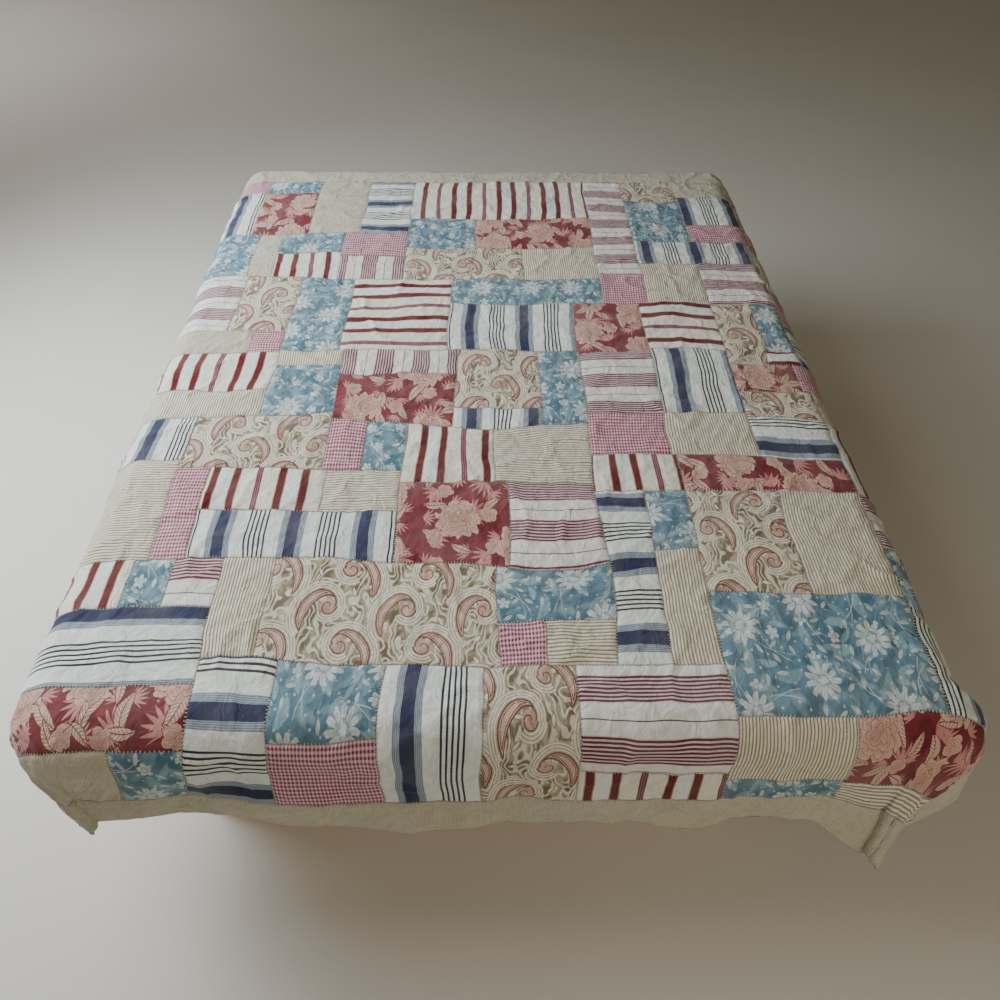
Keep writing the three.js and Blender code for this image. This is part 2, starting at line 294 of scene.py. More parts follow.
# Where hand-sewn seams run off: across, along, reach across and along, moved across and along
PULLS = (
    (-330, 1240, 110, 90, 0, -16),
    (30, 1262, 110, 70, 0, 18),
    (-420, 1640, 200, 70, 0, -14),
    (110, 1645, 110, 70, 0, 18),
    (-420, 1850, 110, 60, 0, -22),
    (10, 1852, 100, 60, 0, 8),
    (-600, 650, 150, 60, 0, -12),
    (230, 1720, 50, 160, 12, 0),
    (-460, 1950, 60, 140, 18, 0),
    (620, 1350, 110, 60, 0, 12),
)
# How seams wander: millimetres, cell across and along in metres, shift of the noise across and along
WANDER_ACROSS = ((5.0, 0.16, 0.13, 0, 0), (1.6, 0.045, 0.04, 31, 0))
WANDER_ALONG = ((6.0, 0.14, 0.16, 77, 0), (1.8, 0.04, 0.045, 0, 53))
# Millimetres from the cover's sides and from its bands over which the wandering grows
SIDE_FADE = 120.0
BAND_FADE = 60.0
# Millimetres past the edge at which the cloth hangs free, and at which a corner fold is tight
FULL_HANG = 220.0
FULL_TUCK = 120.0
# Prints show longer along the bed than across it, and start elsewhere along for each shift across
PRINT_STRETCH = 1.22
PRINT_SKIP = 3.7

# Meshes, in metres
FRONT_STEP = 0.0046
BACK_STEP = 0.014
EDGE_LINES = (0.0015, 0.0036)
SAMPLE = 0.0015
FAR_FROM_SEAM = 0.05


class Noise:
    """Smooth noise on a seeded table of values, the same in every run."""

    SIDE = 256

    def __init__(self, seed: int) -> None:
        """Fills the table that a seed gives."""
        self.values = np.random.default_rng(seed).uniform(-1.0, 1.0, (self.SIDE, self.SIDE))

    def __call__(self, a: Array, b: Array) -> Array:
        """Blends the four table values around each point with a smooth ramp.

        Args:
            a: first coordinate, in cells.
            b: second coordinate, in cells.

        Returns:
            Values from -1 to 1.
        """
        i = np.floor(a).astype(int)
        j = np.floor(b).astype(int)
        u = a - i
        v = b - j
        u = u * u * u * (u * (u * 6 - 15) + 10)
        v = v * v * v * (v * (v * 6 - 15) + 10)
        i, j, next_i, next_j = (n % self.SIDE for n in (i, j, i + 1, j + 1))
        low = self.values[i, j] * (1 - u) + self.values[next_i, j] * u
        high = self.values[i, next_j] * (1 - u) + self.values[next_i, next_j] * u
        return low * (1 - v) + high * v

    def ridged(self, a: Array, b: Array) -> Array:
        """Sharp-topped creases, from 0 to 1: one at each zero of the noise, falling away from it."""
        return (1.0 - np.abs(self(a, b))) ** 3


WANDER = Noise(21)


def bump(distance: Array) -> Array:
    """A soft bump, 1 at the middle and 0 from one half width away."""
    return np.where(np.abs(distance) < 1, np.cos(distance * np.pi / 2) ** 2, 0.0)


def summed(rows: Sequence[Sequence[float]], column: int, place: Array) -> Array:
    """One column of a table of waves (place, half width, ...), summed over the waves near each place."""
    return sum(row[column] * bump((place - row[0]) / row[1]) for row in rows)


def layered(rows: Sequence[Sequence[float]], s: Array, t: Array) -> Array:
    """Layers of noise, each with its size, its cell and its shift, summed at points of the cloth."""
    return sum(size * WANDER(s / wide + at_s, t / long + at_t) for size, wide, long, at_s, at_t in rows)


@dataclass
class Drape:
    """How the cut cloth lies over the bed."""

    soft_lift: float = 0.0046
    soft_cell: tuple[float, float] = (0.17, 0.15)
    billow_lift: float = 0.0062
    billow_cell: tuple[float, float] = (0.075, 0.085)
    billow_bend: float = 0.4
    bend_cell: float = 0.2
    warp: float = 0.55
    warp_cell: float = 0.09
    warp_shift: tuple[float, float] = (40, 17)
    crumple_height: float = 0.0042
    crumple_cell: tuple[float, float] = (0.085, 0.07)
    wrinkle_height: float = 0.0014
    wrinkle_cell: tuple[float, float] = (0.034, 0.03)
    pucker_height: float = 0.0011
    pucker_cell: float = 0.0125
    pucker_reach: float = 0.013
    pillow_height: float = 0.0009
    pillow_reach: float = 0.016
    furrow_depth: float = 0.0013
    furrow_reach: float = 0.0024
    sink: float = 0.0006
    soft: Noise = field(default_factory=lambda: Noise(11))
    billow: Noise = field(default_factory=lambda: Noise(12))
    crease: Noise = field(default_factory=lambda: Noise(13))
    fine: Noise = field(default_factory=lambda: Noise(14))
    bend: Noise = field(default_factory=lambda: Noise(15))
    pucker: Noise = field(default_factory=lambda: Noise(16))

    @staticmethod
    def pulled(s: Array, t: Array) -> tuple[Array, Array]:
        """Moves points of the drawn layout to where the uneven sewing puts them.

        Args:
            s: metres across.
            t: metres along.

        Returns:
            The moved coordinates.
        """
        across = s / MM
        along = t / MM
        moved_s = np.zeros_like(across)
        moved_t = np.zeros_like(along)
        for at_s, at_t, reach_s, reach_t, move_s, move_t in PULLS:
            share = np.exp(-(((across - at_s) / reach_s) ** 2) - ((along - at_t) / reach_t) ** 2)
            moved_s += move_s * share
            moved_t += move_t * share
        moved_s += layered(WANDER_ACROSS, s, t)
        moved_t += layered(WANDER_ALONG, s, t)
        inside = np.clip((COVER_WIDTH / 2 - np.abs(across)) / SIDE_FADE, 0.0, 1.0)
        from_head = np.clip((along - BORDER) / BAND_FADE, 0.0, 1.0)
        inside *= from_head * np.clip((COVER_LENGTH - BORDER - along) / BAND_FADE, 0.0, 1.0)
        return s + moved_s * inside * MM, t + moved_t * inside * MM

    @staticmethod
    def rounded(s: Array, t: Array) -> tuple[Array, Array]:
        """Draws the two foot corners of the cut in to quarter circles.

        In the square of each corner, each distance shrinks by the root of 1 less half the square of the
        other.

        Args:
            s: metres across.
            t: metres along.

        Returns:
            The drawn-in coordinates.
        """
        radius = CUT_ROUND * MM
        side = np.maximum(np.abs(s) - (COVER_WIDTH / 2 - CUT_ROUND) * MM, 0.0)
        foot = np.maximum(t - (COVER_LENGTH - CUT_ROUND) * MM, 0.0)
        less_side = side * (1.0 - np.sqrt(1.0 - 0.5 * (foot / radius) ** 2))
        less_foot = foot * (1.0 - np.sqrt(1.0 - 0.5 * (side / radius) ** 2))
        return s - np.sign(s) * less_side, t - less_foot

    @staticmethod
    def smooth(s: Array, t: Array) -> Array:
        """The drape without creases.

        On the top a point keeps its place and rides on the swells. Past the corner lines it runs out,
        turns down round a bend and hangs, leaning out by its flare, its wave and its corner fold times
        the loosened length that hangs.

        Args:
            s: metres across on the cut cloth.
            t: metres along on the cut cloth.

        Returns:
            Points in metres, with xyz in the last axis.
        """
        s, t = Drape.rounded(s, t)
        middle = COVER_LENGTH / 2
        across = s / MM * np.cos(ASKEW) - (t / MM - middle) * np.sin(ASKEW)
        along = middle + s / MM * np.sin(ASKEW) + (t / MM - middle) * np.cos(ASKEW)
        left = across < 0
        sign = np.where(left, -1.0, 1.0)
        side = np.maximum(np.abs(across) - CORNER_X, 0.0)
        foot = np.maximum(along - HEAD_Y - CORNER_FOOT, 0.0)
        inner_x = np.minimum(np.abs(across), CORNER_X) * sign
        inner_y = np.maximum(HEAD_Y - along, -CORNER_FOOT)
        reach = np.hypot(side, foot)
        angle = np.arctan2(foot, side)
        degrees = np.degrees(angle)
        corner = (side > 0) & (foot > 0)
        only_side = (side > 0) & (foot == 0)
        only_foot = (foot > 0) & (side == 0)

        def fold(column: int) -> Array:
            """One column of the corner folds, for the corner that each point is at."""
            of_left = summed(LEFT_CORNER, column, degrees)
            return corner * np.where(left, of_left, summed(RIGHT_CORNER, column, degrees))

        radius = BEND_RADIUS + fold(FOLD_PUFF)
        turn = np.clip((reach - FLAT_REACH) / radius, 0.0, np.pi / 2)
        out = np.where(reach <= FLAT_REACH, reach, FLAT_REACH + radius * np.sin(turn))
        hang = np.maximum(reach - FLAT_REACH - radius * np.pi / 2, 0.0)
        free = hang * hang / (hang + LOOSEN)
        full_side = COVER_WIDTH / 2 - CORNER_X - HANG_START
        full_foot = COVER_LENGTH - HEAD_Y - CORNER_FOOT - HANG_START
        left_wave = summed(LEFT_WAVES, WAVE_OUT, inner_y)
        side_wave = np.where(left, left_wave, summed(RIGHT_WAVES, WAVE_OUT, inner_y))
        side_wave = side_wave * (full_side + LOOSEN) / full_side**2
        foot_wave = summed(FOOT_WAVES, WAVE_OUT, inner_x) * (full_foot + LOOSEN) / full_foot**2
        lean_side = (FLARE * np.cos(angle) + only_side * side_wave + fold(FOLD_SIDE)) * free
        lean_foot = (FLARE * np.sin(angle) + only_foot * foot_wave + fold(FOLD_FOOT)) * free
        taken = (only_foot * summed(FOOT_WAVES, WAVE_TAKEN, inner_x) + fold(FOLD_TAKEN)) * free
        over = reach > 0
        x = inner_x + sign * over * (out * np.cos(angle) + lean_side)
        y = inner_y - over * (out * np.sin(angle) + lean_foot)
        swell = sum(
            height * np.exp(-(((x - at_x) / reach_x) ** 2) - ((y - at_y) / reach_y) ** 2)
            for at_x, at_y, reach_x, reach_y, height in SWELLS
        )
        drop = radius * (1.0 - np.cos(turn)) + np.sqrt(np.maximum(hang**2 - lean_side**2 - lean_foot**2, 0.0))
        return np.stack([x, y, COVER_TOP + swell - drop + taken], -1) * MM

    @staticmethod
    def hanging(s: Array, t: Array) -> Array:
        """How far a point has come over the edge, from 0 on the top to 1 well down the drop.

        Args:
            s: metres across.
            t: metres along.

        Returns:
            Shares from 0 to 1.
        """
        side = np.maximum(np.abs(s) / MM - CORNER_X - FLAT_REACH, 0.0)
        foot = np.maximum(t / MM - HEAD_Y - CORNER_FOOT - FLAT_REACH, 0.0)
        return np.clip(np.hypot(side, foot) / FULL_HANG, 0.0, 1.0)

    def base(self, s: Array, t: Array) -> tuple[Array, Array]:
        """The inner face with the soft waves that both layers share, and its outward normals.

        The normal is the cross product of the drape's slopes along and across, from small steps.

        Args:
            s: metres across.
            t: metres along.

        Returns:
            Points and unit normals.
        """
        slope_s = self.smooth(s + SAMPLE, t) - self.smooth(s - SAMPLE, t)
        slope_t = self.smooth(s, t + SAMPLE) - self.smooth(s, t - SAMPLE)
        normal = np.cross(slope_t, slope_s)
        normal /= np.maximum(np.linalg.norm(normal, axis=-1, keepdims=True), 1e-12)
        soft = 0.5 + 0.5 * self.soft(s / self.soft_cell[0], t / self.soft_cell[1])
        bend = self.billow_bend * self.bend(s / self.bend_cell, t / self.bend_cell)
        billow = self.billow(s / self.billow_cell[0] + bend, t / self.billow_cell[1])
        loose = self.hanging(s, t) * (1.0 - self.tucked(s, t))
        lift = self.soft_lift * soft + self.billow_lift * loose * billow
        return self.smooth(s, t) + normal * lift[..., None], normal

    @staticmethod
    def tucked(s: Array, t: Array) -> Array:
        """How tightly the foot corners fold the cloth, growing with the length that hangs.

        It is the squared sine of twice the angle about the corner, so 0 on the foot and on the sides.

        Args:
            s: metres across.
            t: metres along.

        Returns:
            Shares from 0 to 1.
        """
        side = np.maximum(np.abs(s) / MM - CORNER_X, 0.0)
        foot = np.maximum(t / MM - HEAD_Y - CORNER_FOOT, 0.0)
        spare = np.clip((np.hypot(side, foot) - HANG_START) / FULL_TUCK, 0.0, 1.0)
        return spare * np.sin(2 * np.arctan2(foot, side)) ** 2

    def creases(self, s: Array, t: Array, edge: Array) -> Array:
        """The front's own creases: crumples, fine wrinkles, and puckers that fade away from a seam.

        Args:
            s: metres across.
            t: metres along.
            edge: metres to the nearest seam.

        Returns:
            Heights in metres.
        """
        warp_s = s / self.warp_cell
        warp_t = t / self.warp_cell
        warp_a = self.warp * self.bend(warp_s, warp_t)
        warp_b = self.warp * self.bend(warp_s + self.warp_shift[0], warp_t + self.warp_shift[1])
        crumple = self.crease.ridged(s / self.crumple_cell[0] + warp_a, t / self.crumple_cell[1] + warp_b)
        wrinkle = self.fine.ridged(s / self.wrinkle_cell[0] + warp_b, t / self.wrinkle_cell[1] + warp_a)
        pucker = self.pucker(s / self.pucker_cell, t / self.pucker_cell) * np.exp(-edge / self.pucker_reach)
        return self.crumple_height * crumple + self.wrinkle_height * wrinkle + self.pucker_height * pucker

    def front(self, s: Array, t: Array, edge: Array) -> Array:
        """The front's outer face: creased, a little pillowed inside each patch, with a furrow at each seam.

        Args:
            s: metres across.
            t: metres along.
            edge: metres to the nearest seam.

        Returns:
            Points in metres.
        """
        points, normal = self.base(s, t)
        pillow = self.pillow_height * (1.0 - np.exp(-edge / self.pillow_reach))
        furrow = self.furrow_depth * np.exp(-((edge / self.furrow_reach) ** 2))
        flat = (2 * CLOTH_THICK + LAYER_GAP) * MM - self.sink
        height = flat + pillow - furrow + self.creases(s, t, edge)
        return points + normal * height[..., None]

    def at_height(self, s: Array, t: Array, height: Array) -> Array:
        """Points at a height over the inner face, in metres."""
        points, normal = self.base(s, t)
        return points + normal * np.asarray(height)[..., None]


@dataclass
class Mesh:
    """Vertices and quads on their way into one object, with the cloth's own coordinates."""

    points: list[Array] = field(default_factory=list)
    quads: list[Array] = field(default_factory=list)
    print_at: list[Array] = field(default_factory=list)
    edge_at: list[Array] = field(default_factory=list)
    count: int = 0

    def add_grid(self, points: Array, print_at: Array, edge_at: Array | None = None) -> None:
        """Adds a grid of points, joined to its neighbours in rows and columns.

        Args:
            points: array of rows, columns and xyz.
            print_at: pattern coordinates, array of rows, columns and 2.
            edge_at: distances to the seams on both axes, array of rows, columns and 2, or none without seams.
        """
        rows, columns = points.shape[:2]
        if edge_at is None:
            edge_at = np.full((rows, columns, 2), FAR_FROM_SEAM)
        index = np.arange(rows * columns).reshape(rows, columns) + self.count
        quads = np.stack([index[:-1, :-1], index[1:, :-1], index[1:, 1:], index[:-1, 1:]], -1)
        self.points.append(points.reshape(-1, 3))
        self.quads.append(quads.reshape(-1, 4))
        self.print_at.append(print_at.reshape(-1, 2))
        self.edge_at.append(edge_at.reshape(-1, 2))
        self.count += rows * columns

    def build(self, name: str, material: Material) -> Piece:
        """Makes the object, with the pattern in a UV map and the seam distances in an attribute.

        Args:
            name: the object's name.
            material: its material.

        Returns:
            The object.
        """
        points = np.concatenate(self.points)
        quads = np.concatenate(self.quads)
        obj = mesh_object(name, points, quads, material)
        layer = obj.data.uv_layers.new(name="Print")
        corners = np.concatenate(self.print_at)[quads.reshape(-1)]
        layer.data.foreach_set("uv", corners.astype(np.float32).reshape(-1))
        seam = obj.data.attributes.new("seam", "FLOAT_VECTOR", "POINT")
        edges = np.concatenate(self.edge_at)
        edges = np.concatenate([edges, np.zeros((len(edges), 1))], 1)
        seam.data.foreach_set("vector", edges.astype(np.float32).reshape(-1))
        return obj


def mesh_object(name: str, points: Array, quads: Array, material: Material) -> Piece:
    """Puts vertices and quads into a new smooth-shaded object.

    Args:
        name: the object's name.
        points: vertices, n by 3.
        quads: faces, m by 4.
        material: its material.

    Returns:
        The object.
    """
    mesh = bpy.data.meshes.new(name)
    mesh.vertices.add(len(points))
    mesh.vertices.foreach_set("co", points.astype(np.float32).reshape(-1))
    mesh.loops.add(quads.size)
    mesh.loops.foreach_set("vertex_index", quads.astype(np.int32).reshape(-1))
    mesh.polygons.add(len(quads))
    mesh.polygons.foreach_set("loop_start", np.arange(0, quads.size, 4, dtype=np.int32))
    mesh.polygons.foreach_set("use_smooth", np.ones(len(quads), dtype=bool))
    mesh.update(calc_edges=True)
    mesh.validate()
    mesh.materials.append(material)
    obj = bpy.data.objects.new(name, mesh)
    bpy.context.scene.collection.objects.link(obj)
    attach(obj, BODY)
    return obj


def lines(start: float, end: float) -> Array:
    """Grid lines between two seams, closer together beside each seam.

    Args:
        start: first seam.
        end: last seam.

    Returns:
        The lines.
    """
    near = np.array(EDGE_LINES)
    count = max(int(round((end - start) / FRONT_STEP)) - 1, 2)
    inner = np.linspace(start + FRONT_STEP, end - FRONT_STEP, count)
    return np.concatenate([[start], start + near, inner[1:-1], end - near[::-1], [end]])


def panel(left: float, right: float, head: float, foot: float) -> tuple[Array, Array, Array]:
    """A grid over a panel of the cut cloth, and its distances to the nearer seam on both axes.

    Args:
        left: metres across to its left seam.
        right: metres across to its right seam.
        head: metres along to its head seam.
        foot: metres along to its foot seam.

    Returns:
        Metres across, metres along, and the two distances in the last axis.
    """
    s, t = np.meshgrid(lines(left, right), lines(head, foot))
    return s, t, np.stack([np.minimum(s - left, right - s), np.minimum(t - head, foot - t)], -1)


class Term:
    """A number in a material's node graph, so that patterns read as arithmetic."""

    def __init__(self, graph: Graph, socket: Socket) -> None:
        """Keeps the graph and the socket that gives the number."""
        self.graph = graph
        self.socket = socket

    def _op(self, name: str, *others: Term | float, clamp: bool = False) -> Term:
        """Adds one math node with this number first."""
        return self.graph.math(name, self, *others, clamp=clamp)

    def __add__(self, other: Term | float) -> Term:
        """Sum."""
        return self._op("ADD", other)

    def __sub__(self, other: Term | float) -> Term:
        """Difference."""
        return self._op("SUBTRACT", other)

    def __rsub__(self, other: float) -> Term:
        """Difference from a number."""
        return self.graph.math("SUBTRACT", other, self)

    def __mul__(self, other: Term | float) -> Term:
        """Product."""
        return self._op("MULTIPLY", other)

    def __truediv__(self, other: Term | float) -> Term:
        """Quotient."""
        return self._op("DIVIDE", other)

    def sin(self) -> Term:
        """Sine."""
        return self._op("SINE")

    def cos(self) -> Term:
        """Cosine."""
        return self._op("COSINE")

    def abs(self) -> Term:
        """Absolute value."""
        return self._op("ABSOLUTE")

    def floor(self) -> Term:
        """Whole part."""
        return self._op("FLOOR")

    def wrap(self, period: float) -> Term:
        """Distance into the current repeat, from 0 to the period."""
        return self._op("WRAP", period, 0.0)

    def power(self, exponent: float) -> Term:
        """Power."""
        return self._op("POWER", exponent)

    def least(self, other: Term | float) -> Term:
        """The smaller of two."""
        return self._op("MINIMUM", other)

    def most(self, other: Term | float) -> Term:
        """The larger of two."""
        return self._op("MAXIMUM", other)

    def under(self, limit: Term | float, soft: float) -> Term:
        """1 where this is under a limit, 0 where it is over, with a soft step between."""
        return ((limit - self) / soft)._op("ADD", 0.5, clamp=True)


class Graph:
    """Builds one cloth's node graph."""

    def __init__(self, material: Material) -> None:
        """Opens a material's nodes.

        Args:
            material: the material to fill.
        """
        material.use_nodes = True
        self.tree = material.node_tree
        self.shader = next(n for n in self.tree.nodes if n.type == "BSDF_PRINCIPLED")

    def node(self, kind: str) -> bpy.types.Node:
        """Adds a node of a type."""
        return self.tree.nodes.new(kind)

    def feed(self, socket: Socket, value: Term | Socket | float | Sequence[float]) -> None:
        """Links a socket to a term or a socket, or sets it to a constant.

        Args:
            socket: the socket to feed.
            value: what to feed it.
        """
        if isinstance(value, Term):
            self.tree.links.new(value.socket, socket)
        elif isinstance(value, Socket):
            self.tree.links.new(value, socket)
        else:
            socket.default_value = value

    def math(self, name: str, *values: Term | float, clamp: bool = False) -> Term:
        """Adds a math node.

        Args:
            name: the operation.
            values: its inputs.
            clamp: whether the result is kept from 0 to 1.

        Returns:
            The result.
        """
        node = self.node("ShaderNodeMath")
        node.operation = name
        node.use_clamp = clamp
        for socket, value in zip(node.inputs, values):
            self.feed(socket, value)
        return Term(self, node.outputs[0])

    def print_at(self) -> tuple[Term, Term]:
        """The pattern coordinates, from the piece's UV map.

        Returns:
            Metres across the stripes and along them.
        """
        node = self.node("ShaderNodeUVMap")
        node.uv_map = "Print"
        return self.split(node.outputs[0])[:2]

    def split(self, vector: Socket) -> tuple[Term, ...]:
        """The three numbers of a vector.

        Args:
            vector: the vector's socket.

        Returns:
            The numbers.
        """
        node = self.node("ShaderNodeSeparateXYZ")
        self.feed(node.inputs[0], vector)
        return tuple(Term(self, output) for output in node.outputs)

    def object_at(self) -> tuple[Term, ...]:
        """The object's own coordinates in metres."""
        return self.split(self.node("ShaderNodeTexCoord").outputs["Object"])

    def bump(self, height: Term, strength: float, distance: float) -> None:
        """Raises the surface's shading by a height.

        Args:
            height: the height.
            strength: how strongly it shows, from 0 to 1.
            distance: what a height of 1 stands for, in metres.
        """
        node = self.node("ShaderNodeBump")
        node.inputs["Strength"].default_value = strength
        node.inputs["Distance"].default_value = distance
        self.feed(node.inputs["Height"], height)
        self.feed(self.shader.inputs["Normal"], node.outputs[0])

    def finish(self, **values: float) -> None:
        """Sets constants on the shader's own sockets, with underscores for the spaces in their names."""
        for name, value in values.items():
            self.shader.inputs[name.replace("_", " ")].default_value = value

    def seam(self) -> Term:
        """The distance to the nearest seam of the patch, from the piece's attribute.

        Returns:
            Metres.
        """
        node = self.node("ShaderNodeAttribute")
        node.attribute_name = "seam"
        first, second, _ = self.split(node.outputs["Vector"])
        return first.least(second)

    def vector(self, x: Term | float, y: Term | float, z: Term | float = 0.0) -> Socket:
        """Joins numbers into a vector.

        Args:
            x: first number.
            y: second number.
            z: third number.

        Returns:
            The vector's socket.
        """
        node = self.node("ShaderNodeCombineXYZ")
        for socket, value in zip(node.inputs, (x, y, z)):
            self.feed(socket, value)
        return node.outputs[0]

    def noise(self, x: Term, y: Term, detail: float = 2.0) -> Term:
        """Smooth noise.

        Args:
            x: first coordinate, in cells.
            y: second coordinate, in cells.
            detail: how many finer layers it has.

        Returns:
            Values from 0 to 1.
        """
        node = self.node("ShaderNodeTexNoise")
        node.noise_dimensions = "2D"
        node.inputs["Scale"].default_value = 1.0
        node.inputs["Detail"].default_value = detail
        self.feed(node.inputs["Vector"], self.vector(x, y))
        return Term(self, node.outputs["Fac"])

    def chance(self, x: Term, y: Term, seed: float) -> tuple[Term, Term, Term]:
        """Three random numbers for each cell.

        Args:
            x: the cell's column.
            y: the cell's row.
            seed: which set of numbers.

        Returns:
            Numbers from 0 to 1.
        """
        node = self.node("ShaderNodeTexWhiteNoise")
        node.noise_dimensions = "3D"
        self.feed(node.inputs["Vector"], self.vector(x, y, seed))
        parts = self.node("ShaderNodeSeparateColor")
        self.feed(parts.inputs[0], node.outputs["Color"])
        return tuple(Term(self, output) for output in parts.outputs)

    def mix(self, share: Term | float, first: Colour | Socket, second: Colour | Socket) -> Socket:
        """Mixes two colours.

        Args:
            share: how much of the second.
            first: the first colour.
            second: the second colour.

        Returns:
            The mixed colour's socket.
        """
        node = self.node("ShaderNodeMix")
        node.data_type = "RGBA"
        self.feed(node.inputs["Factor"], share)
        for socket, value in ((node.inputs[6], first), (node.inputs[7], second)):
            self.feed(socket, value if isinstance(value, Socket) else (*value, 1.0))
        return node.outputs[2]


def linear(red: int, green: int, blue: int) -> Colour:
    """A colour as the shader takes it, from one as seen.

    Args:
        red: red, from 0 to 255.
        green: green, from 0 to 255.
        blue: blue, from 0 to 255.

    Returns:
        Linear red, green and blue, from 0 to 1.
    """
    seen = np.array([red, green, blue]) / 255.0
    curve = ((seen + 0.055) / 1.055) ** 2.4
    return tuple(float(x) for x in np.where(seen <= 0.04045, seen / 12.92, curve))


@dataclass
class Cell:
    """One repeat of a scattered motif: the point's place in it and the cell's random numbers."""

    x: Term
    y: Term
    random: Term
    other: Term


# Tones laid over a print: wear and weave, and painted shade in the creases and along the seams
FADED = linear(236, 234, 226)
THREAD_SHADE = linear(70, 62, 60)
PAINTED_CREASE_SHADE = linear(92, 84, 80)
PAINTED_SEAM_SHADE = linear(66, 58, 58)


@dataclass(frozen=True)
class Fabric:
    """A woven cotton: its print, its finish, and the shade painted into its creases and along its seams."""

    name: str
    fade_share: float = 0.1
    thread_share: float = 0.22
    crease_shade_share: float = 0.14
    seam_shade_share: float = 0.55
    crumple_height: float = 0.0026
    crease_height: float = 0.0019
    thread_height: float = 0.00022
    weave_height: float = 0.00003
    weave_turns: float = 5200.0
    bump_strength: float = 0.75

    def paint(self, g: Graph, x: Term, y: Term) -> Socket:
        """The print's colour at metres across and along it, drawn by each kind of cloth."""
        raise NotImplementedError

    def material(self) -> Material:
        """Makes the material: print, fading, painted shade along the seams and in the creases, weave and fine
        creases.

        Returns:
            The material.
        """
        material = bpy.data.materials.new(self.name)
        g = Graph(material)
        x, y = g.print_at()
        colour = self.paint(g, x, y)
        bend = g.noise(x * 20.0, y * 20.0) * 2.0
        crumple = g.noise(x * 55.0 + bend, y * 48.0, 4.0)
        crease = ((g.noise(x * 30.0 + bend, y * 26.0 - bend, 3.0) - 0.5) * 4.0).abs().least(1.0)
        fade = g.noise(x * 9.0, y * 9.0, 3.0)
        colour = g.mix(fade.under(0.42, 0.5) * self.fade_share, colour, FADED)
        threads = g.noise(x * 1400.0, y * 90.0, 1.0) + g.noise(x * 90.0, y * 1400.0, 1.0)
        colour = g.mix((threads - 0.75) * self.thread_share, colour, THREAD_SHADE)
        # Painted shade: the colour darkens along the fine creases
        colour = g.mix(crease.under(0.12, 0.22) * self.crease_shade_share, colour, PAINTED_CREASE_SHADE)
        seam = g.seam()
        # Painted shade: a dark line along each seam, where its furrow lies
        colour = g.mix(seam.under(0.0012, 0.0016) * self.seam_shade_share, colour, PAINTED_SEAM_SHADE)
        g.feed(g.shader.inputs["Base Color"], colour)
        g.finish(Roughness=0.88, Specular_IOR_Level=0.22, Sheen_Weight=0.12, Sheen_Roughness=0.5)
        weave = (x * self.weave_turns).sin() * (y * self.weave_turns).sin()
        height = crumple * self.crumple_height + crease * self.crease_height
        height = height + threads * self.thread_height + weave * self.weave_height
        g.bump(height, self.bump_strength, 1.0)
        return material


def scatter(g: Graph, x: Term, y: Term, size: float, tall: float, jitter: float, seed: float) -> Cell:
    """Cuts the cloth into half-dropped cells and gives each point's place in its own, turned at random.

    Args:
        g: the graph.
        x: metres across.
        y: metres along.
        size: a cell's width.
        tall: a cell's height.
        jitter: how far the motif may move, as a share of the cell.
        seed: which random numbers.

    Returns:
        The cell.
    """
    column = (x / size).floor()
    drop = (column * 0.5).wrap(1.0)
    row = (y / tall + drop).floor()
    first, second, third = g.chance(column, row, seed)
    local_x = x - (column + 0.5 + (first - 0.5) * jitter) * size
    local_y = y - (row - drop + 0.5 + (second - 0.5) * jitter) * tall
    angle = third * (2 * np.pi)
    cos, sin = angle.cos(), angle.sin()
    return Cell(local_x * cos - local_y * sin, local_x * sin + local_y * cos, first, second)


def polar(g: Graph, x: Term, y: Term) -> tuple[Term, Term]:
    """Distance from a motif's middle and the angle about it."""
    return (x * x + y * y).power(0.5), g.math("ARCTAN2", y, x)


def leaf(x: Term, y: Term, length: float, width: float, soft: float) -> Term:
    """A pointed leaf along x, 1 inside: under its half width, which falls off to both tips."""
    along = x / length
    return y.abs().under((1.0 - along * along) * width, soft)


